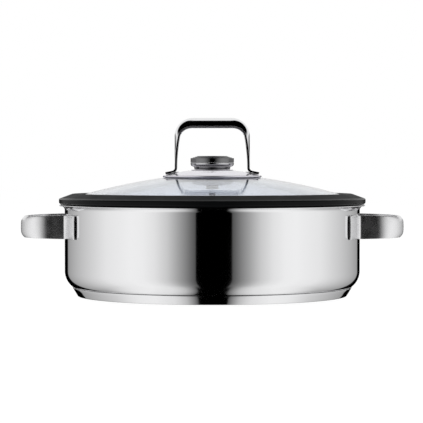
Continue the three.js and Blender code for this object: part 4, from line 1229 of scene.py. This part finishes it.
class STEAMER_OT_tray(Operator):
    """Spins the tray's ring, punches its floor and sets it on its feet"""

    bl_idname = "steamer.tray"
    bl_label = "Steaming tray"

    def execute(self, context):
        tray = context.scene.steamer_tray
        steel = finish(satin_stainless)
        wall_top = tray.rim_radius - tray.rim_lip
        wall_foot = wall_top - tray.lean
        edge = tray.sheet * FULL_ROUND
        low, high = tray.underside, tray.rim_height
        ring = spun_ring("tray_ring", [
            (tray.flange_radius, low, edge),
            (wall_foot, low, tray.bend_radius),
            (wall_top, high - tray.sheet, tray.sheet),
            (tray.rim_radius, high - tray.sheet, edge),
            (tray.rim_radius, high, edge),
            (wall_top - tray.sheet, high, 2 * tray.sheet),
            (wall_foot - tray.sheet, low + tray.sheet, tray.bend_radius - tray.sheet),
            (tray.flange_radius, low + tray.sheet, edge),
        ], ROUND_POT, steel)
        dress(ring, "tray", "satin_steel", "tray_wall")
        self.punch_floor(tray, steel)
        for number in (1, 2, 3):
            self.set_foot(tray, number, steel)
        return {"FINISHED"}

    def punch_floor(self, tray, steel):
        holes = [(0, 0, 0)]
        for ring in range(1, tray.hole_rings + 1):
            count = ring * tray.holes_per_ring
            holes += [(x, y, 0) for x, y in arc(0, 0, ring * tray.hole_pitch, 0, 360, count)[:-1]]
        floor = new_object("punched_floor", holes)
        run_tree(floor, punched_floor, {
            "Radius": tray.floor_radius,
            "Sheet": tray.sheet,
            "Hole radius": tray.hole_radius,
            "Finish": steel,
        })
        bevelled(moved(floor, 0, 0, tray.floor_height + tray.sheet / 2), tray.sheet / 4)
        dress(floor, "tray", "satin_steel", "tray_floor")

    def set_foot(self, tray, number, steel):
        name = f"tray_foot_{number}"
        low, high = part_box(name)
        foot = spun(f"welded_foot_{number}", filleted([
            (0, low.z, 0),
            (tray.foot_bottom_radius, low.z, tray.foot_edge),
            (tray.foot_top_radius, high.z, tray.foot_edge / 3),
            (0, high.z, 0),
        ]), ROUND_SMALL, steel)
        moved(foot, (low.x + high.x) / 2, (low.y + high.y) / 2, 0)
        dress(foot, "tray", "satin_steel", name)


def saddle_outline(bail):
    """Section of a saddle: an arch over the wire between two feet."""
    bore = bail.wire_radius + SEAT_GAP
    arch = bore + bail.saddle_sheet
    foot = arch + bail.saddle_foot
    base = -bail.wire_radius - SEAT_GAP + FACE_GAP
    step = base + bail.saddle_sheet
    return [
        (-foot, base),
        (-bore, base),
        *arc(0, 0, bore, 180, 0),
        (bore, base),
        (foot, base),
        (foot, step),
        (arch, step),
        *arc(0, 0, arch, 0, 180),
        (-arch, step),
        (-foot, step),
    ]


class STEAMER_OT_bails(Operator):
    """Bends the tray's wire bails and presses their saddles"""

    bl_idname = "steamer.bails"
    bl_label = "Tray bails"

    def execute(self, context):
        bail = context.scene.steamer_bails
        half = bail.width / 2
        saddle_half = bail.saddle_length / 2
        saddle_y = half + bail.end_bend_radius + bail.saddle_clearance + saddle_half
        end = saddle_y + saddle_half + bail.stub
        path = filleted([
            (0, -end, 0),
            (0, -half, bail.end_bend_radius),
            (-bail.reach, -half, bail.corner_radius),
            (-bail.reach, half, bail.corner_radius),
            (0, half, bail.end_bend_radius),
            (0, end, 0),
        ])
        joins = [(i, i + 1) for i in range(len(path) - 1)]
        saddle = [[(x, y, z) for x, z in saddle_outline(bail)] for y in (-saddle_half, saddle_half)]
        for side, sign in (("right", 1), ("left", -1)):
            points = [(sign * (bail.hinge_x + x), y, bail.hinge_z) for x, y in path]
            wire = new_object(f"{side}_bail_wire", points, joins)
            run_tree(wire, bent_wire, {
                "Wire radius": bail.wire_radius,
                "Finish": finish(buffed_strap_stainless),
            })
            dress(smoothed(wire), f"bail_{side}", "polished_steel", f"tray_bail_{side}")
            for end_name, end_sign in (("front", -1), ("back", 1)):
                clip = skinned(f"{side}_{end_name}_saddle", saddle, [finish(satin_stainless)])
                moved(clip, sign * bail.hinge_x, end_sign * saddle_y, bail.hinge_z)
                bevelled(clip, bail.saddle_edge)
                dress(clip, "tray", "satin_steel", f"tray_saddle_{side}_{end_name}")
        return {"FINISHED"}


# Lid


def glass_top(lid, radius):
    """Height of the dome's upper face, which peaks a little towards its middle."""
    rise = math.sqrt(lid.glass_curve ** 2 - (radius + lid.glass_offset) ** 2)
    rise_at_edge = math.sqrt(lid.glass_curve ** 2 - (lid.glass_radius + lid.glass_offset) ** 2)
    return lid.seat + lid.glass_edge + rise - rise_at_edge


def plate_run(lid, radius):
    """How far a radius lies from the saucer's land to its rim, from 0 to 1."""
    return share_between(radius, lid.plate_land_radius, lid.plate_radius)


def plate_top(lid, radius):
    """Height of the saucer's upper face: flat on its land, then falling in a curve to its rim."""
    run = plate_run(lid, radius)
    return lid.plate_land - lid.plate_rise * run * (1 - lid.plate_crown + lid.plate_crown * run)


class STEAMER_OT_lid_glass(Operator):
    """Presses the domed glass and moulds its silicone rim"""

    bl_idname = "steamer.lid_glass"
    bl_label = "Lid glass and rim"

    def execute(self, context):
        lid = context.scene.steamer_lid
        radii = steps(lid.glass_hole, lid.glass_radius, 2 * CORNER_STEPS)
        upper = [(radius, glass_top(lid, radius)) for radius in radii]
        lower = [(radius, height - lid.glass_thickness) for radius, height in upper]
        outline = lower + upper[::-1] + lower[:1]
        glass = spun("domed_glass", outline, ROUND_POT, finish(tempered_glass))
        dress(glass, "lid", "clear_glass", "lid_glass")
        self.mould_rim(lid)
        return {"FINISHED"}

    def mould_rim(self, lid):
        outer = lid.seal_radius
        skirt_inner = lid.skirt_radius - lid.skirt_thickness
        lip = lid.glass_radius - lid.seal_grip
        lower_lip = lid.glass_radius - lid.seal_lower_grip
        groove = lid.glass_radius + SEAT_GAP
        under = glass_top(lid, lower_lip) - lid.glass_thickness - SEAT_GAP
        crest = glass_top(lid, lip) + SEAT_GAP + lid.seal_lip
        soft = lid.seal_rounding
        rim = spun_ring("silicone_rim", [
            (skirt_inner, lid.seat - lid.skirt_depth, soft / 2),
            (lid.skirt_radius, lid.seat - lid.skirt_depth, soft),
            (lid.skirt_radius, lid.seat, soft / 4),
            (outer - lid.seal_chamfer, lid.seat, soft / 2),
            (outer, lid.seat + lid.seal_chamfer, soft),
            (outer, lid.seat + lid.seal_side, soft),
            (outer - lid.seal_slope, crest, 2 * soft),
            (lip, crest, soft / 2),
            (lip, glass_top(lid, lip) + SEAT_GAP, 0),
            (groove, glass_top(lid, groove) + SEAT_GAP, 0),
            (groove, glass_top(lid, groove) - lid.glass_thickness - SEAT_GAP, 0),
            (lower_lip, under, 0),
            (lower_lip, under - lid.seal_lower_lip, soft / 2),
            (skirt_inner, lid.seat - soft, soft),
        ], ROUND_POT, finish(moulded_black_silicone))
        dress(rim, "lid", "black_silicone", "lid_seal")


class STEAMER_OT_lid_plate(Operator):
    """Spins the pressed saucer and its gasket"""

    bl_idname = "steamer.lid_plate"
    bl_label = "Lid plate"

    def execute(self, context):
        lid = context.scene.steamer_lid
        hole = context.scene.steamer_thermometer.spigot_radius + SEAT_GAP
        tip = lid.plate_sheet / 2
        rim = lid.plate_radius - tip
        inside = rim - tip
        radii = [hole, *steps(lid.plate_land_radius, rim, CORNER_STEPS)]
        upper = [(radius, plate_top(lid, radius)) for radius in radii]
        lower = [(radius, height - lid.plate_sheet) for radius, height in upper]
        edge = [
            (inside, plate_top(lid, inside) - lid.plate_sheet),
            *arc(rim, upper[-1][1] - tip - lid.plate_hem, tip, -90, 0, EDGE_STEPS),
            *arc(rim, upper[-1][1] - tip, tip, 0, 90, EDGE_STEPS),
        ]
        outline = lower[:-1] + edge + upper[-2::-1] + lower[:1]
        plate = spun("pressed_saucer", outline, ROUND_KNOB, finish(bright_pressed_stainless))
        dress(plate, "lid", "satin_steel", "lid_plate")
        inner = lid.plate_radius - lid.gasket_width
        outer = lid.plate_radius - lid.gasket_inset
        under = lid.plate_sheet + FACE_GAP
        soft = lid.gasket_thickness / 3
        gasket = spun_ring("saucer_gasket", [
            (inner, glass_top(lid, inner) + SEAT_GAP, 0),
            (outer, glass_top(lid, outer) + SEAT_GAP, soft),
            (outer, plate_top(lid, outer) - under, soft),
            (inner, plate_top(lid, inner) - under, 0),
        ], ROUND_KNOB, finish(moulded_black_silicone))
        dress(gasket, "lid", "black_silicone", "lid_plate_gasket")
        return {"FINISHED"}


def arch_stations(lid):
    """Stations of the arch from toe to toe: feet along the saucer's slope, bends, legs, corners and grip."""
    leg = lid.arch_width / 2
    foot = lid.arch_toe - lid.pad_length / 2
    fall = lid.plate_rise * (1 - lid.plate_crown + 2 * lid.plate_crown * plate_run(lid, foot))
    fall /= lid.plate_radius - lid.plate_land_radius
    slant = math.hypot(1, fall)
    lift = (SEAT_GAP + lid.arch_sheet) * slant
    grip = lid.plate_land + lid.arch_height
    corner_z = grip - lid.arch_corner

    def foot_line(x):
        return plate_top(lid, foot) + lift - fall * (x - foot)

    bend_x = leg + lid.arch_bend
    bend_z = foot_line(bend_x) + lid.arch_bend * slant
    toe_normal = Vector((fall, 1)).normalized()
    half = [
        (Vector((lid.arch_toe, foot_line(lid.arch_toe))), toe_normal),
        *turn(bend_x, bend_z, lid.arch_bend, -90 - math.degrees(math.atan(fall)), -180),
        *turn(leg - lid.arch_corner, corner_z, lid.arch_corner, 0, 90),
        (Vector((0, grip)), Vector((0, 1))),
    ]
    other = [(Vector((-p.x, p.y)), Vector((-n.x, n.y))) for p, n in half[-2::-1]]
    stations = []
    for point, normal in filled(half + other, ARCH_STEP):
        share = share_between(point.y, bend_z, grip)
        stations.append((
            Vector((point.x, 0, point.y)),
            Vector((normal.x, 0, normal.y)),
            Vector((0, -1, 0)),
            lid.arch_strap,
            lid.arch_crown * share ** lid.arch_crown_growth,
            lid.arch_sheet,
        ))
    return stations


# Section of a pad from the middle of its underside to the middle of its top, in shares of size and thickness
PAD_SECTION = ((0, 0), (0.7, 0), (0.96, 0), (1, 0.4), (0.97, 0.8), (0.88, 1), (0.5, 1), (0, 1))


def arch_pad(lid, side, material):
    """An oval pad with a rounded edge that follows the saucer under one end of the arch."""
    middle = lid.arch_toe - lid.pad_length / 2
    rows = []
    for share, height in PAD_SECTION:
        row = []
        for angle in steps(0, math.tau, 2 * CORNER_STEPS)[:-1]:
            x = middle + share * lid.pad_length / 2 * math.cos(angle)
            y = share * lid.pad_width / 2 * math.sin(angle)
            low = plate_top(lid, math.hypot(x, y)) + SEAT_GAP
            row.append((side * x, y, low + height * lid.pad_thickness))
        rows.append(row)
    return skinned("arch_pad", rows, [material], capped=False)


class STEAMER_OT_lid_handle(Operator):
    """Bends the lid's arch handle with its oval feet"""

    bl_idname = "steamer.lid_handle"
    bl_label = "Lid handle"

    def execute(self, context):
        lid = context.scene.steamer_lid
        steel = finish(buffed_strap_stainless)
        arch = strap(
            "arch_strap", arch_stations(lid), lid.arch_crown_power, steel, finish(sheared_stainless)
        )
        handle = joined("arch_handle", [arch, arch_pad(lid, 1, steel), arch_pad(lid, -1, steel)])
        handle.data.set_sharp_from_angle(angle=SHARP_ANGLE)
        dress(handle, "lid", "polished_steel", "lid_handle")
        return {"FINISHED"}


# Thermometer


def lens_drop(dial, radius):
    """How far the lens falls from its middle to a radius."""
    return dial.lens_curve - math.sqrt(dial.lens_curve ** 2 - radius ** 2)


class STEAMER_OT_thermometer(Operator):
    """Turns the thermometer's case, bezel and lens"""

    bl_idname = "steamer.thermometer"
    bl_label = "Thermometer"

    def execute(self, context):
        dial = context.scene.steamer_thermometer
        land = context.scene.steamer_lid.plate_land
        washer_top = land + FACE_GAP + dial.washer_thickness
        neck = washer_top + FACE_GAP
        case_top = neck + dial.neck_height + dial.flare + dial.case_rim
        bezel_low = case_top + FACE_GAP
        crest = bezel_low + dial.bezel_height + lens_drop(dial, dial.knob_radius - dial.bezel_wall)
        washer = spun_ring("thin_washer", flat_ring_corners(
            dial.spigot_radius + SEAT_GAP, dial.washer_radius, land + FACE_GAP, washer_top,
            dial.washer_thickness / 3,
        ), ROUND_KNOB, finish(satin_stainless))
        dress(washer, "lid", "satin_steel", "thermometer_washer")
        case = self.turn_case(dial, land - dial.spigot_depth, neck, case_top)
        bezel = self.turn_bezel(dial, bezel_low, crest)
        lens = self.grind_lens(dial, crest)
        # The plate and glass under the knob are kept clean of its mirror image
        for piece in (case, bezel, lens):
            piece.visible_glossy = False
        return {"FINISHED"}

    def turn_case(self, dial, spigot, neck, case_top):
        flare = neck + dial.neck_height
        groove = case_top - dial.groove
        stem_bore = dial.stem_radius + SEAT_GAP
        cavity = dial.neck_radius - dial.case_wall
        out = dial.knob_radius - dial.neck_radius
        rounding = [
            (dial.neck_radius + out * math.sin(angle), flare + dial.flare * (1 - math.cos(angle)), 0)
            for angle in steps(0, math.pi / 2, CORNER_STEPS)
        ]
        case = spun_ring("turned_case", [
            (stem_bore, spigot, 0),
            (dial.spigot_radius, spigot, 2 * dial.edge),
            (dial.spigot_radius, neck, 0),
            (dial.neck_radius - dial.neck_taper, neck, dial.edge),
            *rounding,
            (dial.knob_radius, groove, 0),
            (dial.knob_radius - dial.groove, groove, 0),
            (dial.knob_radius - dial.groove, case_top, 0),
            (cavity, case_top, dial.edge),
            (cavity, neck + dial.case_wall, 0),
            (stem_bore, neck + dial.case_wall, 0),
        ], ROUND_KNOB, finish(black_chromed_steel))
        # Painted reflection of the bright saucer: a lighter ring on the dark case, from a third of the way
        # up its rounding to the groove
        case.data.materials.append(finish(bright_turned_steel))
        ring = len(case.data.materials) - 1
        painted_reflection_low = flare + dial.flare / 3
        for face in case.data.polygons:
            if painted_reflection_low < face.center.z < groove and face.center.xy.length > dial.neck_radius:
                face.material_index = ring
        return dress(case, "lid", "dark_chrome", "thermometer_case")

    def turn_bezel(self, dial, low, crest):
        inner = dial.knob_radius - dial.bezel_wall
        seat = dial.knob_radius - dial.shoulder
        ledge_top = crest - lens_drop(dial, seat) - dial.lens_thickness - SEAT_GAP
        ledge_low = ledge_top - dial.ledge_thickness
        shoulder = []
        before = low
        for share in steps(0, 1, dial.bezel_steps):
            radius = dial.knob_radius + (dial.bezel_crest_radius - dial.knob_radius) * share
            height = crest - dial.bezel_foot + (dial.bezel_foot - dial.bezel_crest) * share
            shoulder += [(radius, before, dial.edge), (radius, height, dial.edge)]
            before = height
        bezel = spun_ring("turned_bezel", [
            (inner, low, dial.edge),
            *shoulder,
            (seat, before, dial.edge),
            (seat, ledge_top, 0),
            (seat - dial.ledge, ledge_top, dial.edge),
            (seat - dial.ledge, ledge_low, dial.edge),
            (inner, ledge_low - dial.ledge, 0),
        ], ROUND_KNOB, finish(black_chromed_steel))
        return dress(bezel, "lid", "dark_chrome", "thermometer_bezel")

    def grind_lens(self, dial, crest):
        # The lens lies a little under the bezel's crest
        middle = crest - dial.bezel_crest - SEAT_GAP
        radii = steps(0, dial.knob_radius - dial.shoulder - SEAT_GAP, CORNER_STEPS)
        upper = [(radius, middle - lens_drop(dial, radius)) for radius in radii]
        lower = [(radius, height - dial.lens_thickness) for radius, height in upper]
        lens = spun("domed_lens", lower + upper[::-1], ROUND_KNOB, finish(tempered_glass))
        return dress(lens, "lid", "clear_glass", "thermometer_lens")


# The dial's scale: highest reading, readings between numbers and between marks, and its turn in degrees
SCALE_TOP = 120
SCALE_STEP = 20
SCALE_FINE_STEP = 2
SCALE_START = 225
SCALE_SWEEP = 270


def printed_number(dial, number, radius, face):
    """A printed number at its place on the scale, upright for someone in front of the pot."""
    text = bpy.data.curves.new("number", "FONT")
    text.body = str(number)
    text.size = dial.number_size
    text.align_x = "CENTER"
    text.align_y = "CENTER"
    text.extrude = dial.print_thickness / 2
    made = bpy.data.objects.new("number", text)
    bpy.context.scene.collection.objects.link(made)
    bpy.context.view_layer.update()
    mesh = bpy.data.meshes.new_from_object(made.evaluated_get(bpy.context.evaluated_depsgraph_get()))
    bpy.data.objects.remove(made)
    mesh.materials.clear()
    mesh.materials.append(finish(black_print))
    piece = bpy.data.objects.new("number", mesh)
    bpy.context.scene.collection.objects.link(piece)
    angle = math.radians(SCALE_START - SCALE_SWEEP * number / SCALE_TOP)
    return moved(piece, radius * math.cos(angle), radius * math.sin(angle), face + dial.print_thickness / 2)


def scale_marks(dial, name, step, inner, outer, width, face):
    """Marks of the scale between two radii, one for each step of the reading."""
    half = width / 2
    corners = [(inner, -half), (outer, -half), (outer, half), (inner, half)]
    marks = flat_piece(name, corners, face, face + dial.print_thickness)
    return run_tree(marks, dial_marks, {
        "Count": SCALE_TOP // step + 1,
        "Start": math.radians(SCALE_START),
        "Sweep": math.radians(SCALE_SWEEP),
        "Finish": finish(black_print),
    })


class STEAMER_OT_dial(Operator):
    """Enamels and prints the dial and cuts the pointer"""

    bl_idname = "steamer.dial"
    bl_label = "Dial and pointer"

    def execute(self, context):
        dial = context.scene.steamer_thermometer
        low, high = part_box("thermometer_dial")
        section = flat_ring_corners(dial.dial_bore, high.x, low.z, high.z, dial.dial_thickness / 4)
        disc = spun_ring("enamelled_dial", section, ROUND_KNOB, finish(stoved_white_enamel))
        dress(disc, "lid", "dial_enamel", "thermometer_dial")
        disc.visible_glossy = False
        self.print_scale(dial, high.z)
        self.cut_pointer(dial)
        paint_node("thermometer_shaft", mirror_polished_stainless)
        return {"FINISHED"}

    def print_scale(self, dial, face):
        rim = dial.knob_radius - dial.shoulder - dial.ledge - dial.scale_inset
        inner = rim - dial.long_mark
        fine_inner = rim - dial.short_mark
        prints = [
            scale_marks(dial, "long_marks", SCALE_STEP, inner, rim, dial.long_mark_width, face),
            scale_marks(dial, "short_marks", SCALE_FINE_STEP, fine_inner, rim, dial.short_mark_width, face),
        ]
        for number in range(0, SCALE_TOP + 1, SCALE_STEP):
            prints.append(printed_number(dial, number, rim - dial.number_inset, face))
        printing = joined("dial_printing", prints)
        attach(printing, "lid")
        printing.visible_glossy = False

    def cut_pointer(self, dial):
        low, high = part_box("thermometer_pointer")
        half = dial.pointer_width / 2
        hub = arc(0, 0, dial.hub_radius, -150, -30)
        outline = [
            (dial.pointer_tail, -half),
            (dial.pointer_tail, half),
            *[(-x, -y) for x, y in hub],
            (-dial.pointer_length, 0),
            *hub,
        ]
        pointer = flat_piece("cut_pointer", outline, low.z, high.z, [finish(black_print)])
        dress(pointer, "pointer", "pointer_black", "thermometer_pointer")


class STEAMER_OT_clamp(Operator):
    """Makes what clamps the thermometer through the glass"""

    bl_idname = "steamer.clamp"
    bl_label = "Clamping stack"

    def execute(self, context):
        dial = context.scene.steamer_thermometer
        hole = dial.spigot_radius + SEAT_GAP
        clear = finish(translucent_silicone)
        bright = finish(bright_pressed_stainless)
        for name, node_name, rounding, slot, material in (
            ("lower_silicone_disc", "lid_lower_seal", dial.seal_edge, "clear_silicone", clear),
            ("under_washer", "lid_washer", dial.washer_edge, "polished_steel", bright),
        ):
            low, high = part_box(node_name)
            section = flat_ring_corners(hole, high.x, low.z, high.z, rounding)
            ring = spun_ring(name, section, ROUND_SMALL, material)
            dress(ring, "lid", slot, node_name)
        self.cut_nut(dial, hole)
        paint_node("lid_upper_seal", translucent_silicone)
        paint_node("lid_grommet", translucent_silicone)
        paint_node("thermometer_stem", mirror_polished_stainless)
        paint_node("thermometer_coil", bimetal_strip)
        return {"FINISHED"}

    def cut_nut(self, dial, hole):
        """A hexagon whose corners are turned off at both faces."""
        low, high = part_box("lid_nut")
        half_flats = dial.nut_flats / 2
        face = half_flats - dial.nut_chamfer / 2
        half_side = math.pi / 6
        rows = []
        for angle in steps(0, math.tau, 12 * EDGE_STEPS)[:-1]:
            from_corner = (angle + half_side) % (2 * half_side) - half_side
            side = half_flats / math.cos(half_side - abs(from_corner))
            cut = (side - face) * math.tan(half_side)
            section = [
                (hole, low.z), (face, low.z), (side, low.z + cut),
                (side, high.z - cut), (face, high.z), (hole, high.z),
            ]
            rows.append([(r * math.cos(angle), r * math.sin(angle), z) for r, z in section])
        nut = skinned("hex_nut", rows, [finish(mirror_polished_stainless)], capped=False, looped=True)
        dress(nut, "lid", "polished_steel", "lid_nut")


# Add-on


GROUPS = {
    "steamer_pot": PotSizes,
    "steamer_side_handles": SideHandleSizes,
    "steamer_tray": TraySizes,
    "steamer_bails": BailSizes,
    "steamer_lid": LidSizes,
    "steamer_thermometer": ThermometerSizes,
    "steamer_finishes": Finishes,
    "steamer_studio": StudioSettings,
}
OPERATORS = (
    STEAMER_OT_stage,
    STEAMER_OT_pot,
    STEAMER_OT_side_handles,
    STEAMER_OT_tray,
    STEAMER_OT_bails,
    STEAMER_OT_lid_glass,
    STEAMER_OT_lid_plate,
    STEAMER_OT_lid_handle,
    STEAMER_OT_thermometer,
    STEAMER_OT_dial,
    STEAMER_OT_clamp,
)


class STEAMER_PT_pieces(Panel):
    """Lists what builds the steamer pot"""

    bl_idname = "STEAMER_PT_pieces"
    bl_label = "Steamer pot"
    bl_space_type = "VIEW_3D"
    bl_region_type = "UI"
    bl_category = "Steamer"

    def draw(self, context):
        for operator in OPERATORS:
            self.layout.operator(operator.bl_idname)


def register():
    for each in (*GROUPS.values(), *OPERATORS, STEAMER_PT_pieces):
        bpy.utils.register_class(each)
    for name, group in GROUPS.items():
        setattr(bpy.types.Scene, name, PointerProperty(type=group))


def unregister():
    for name in GROUPS:
        delattr(bpy.types.Scene, name)
    for each in reversed((*GROUPS.values(), *OPERATORS, STEAMER_PT_pieces)):
        bpy.utils.unregister_class(each)


def main():
    register()
    for operator in OPERATORS:
        group, name = operator.bl_idname.split(".")
        getattr(getattr(bpy.ops, group), name)()


if __name__ == "__main__":
    main()
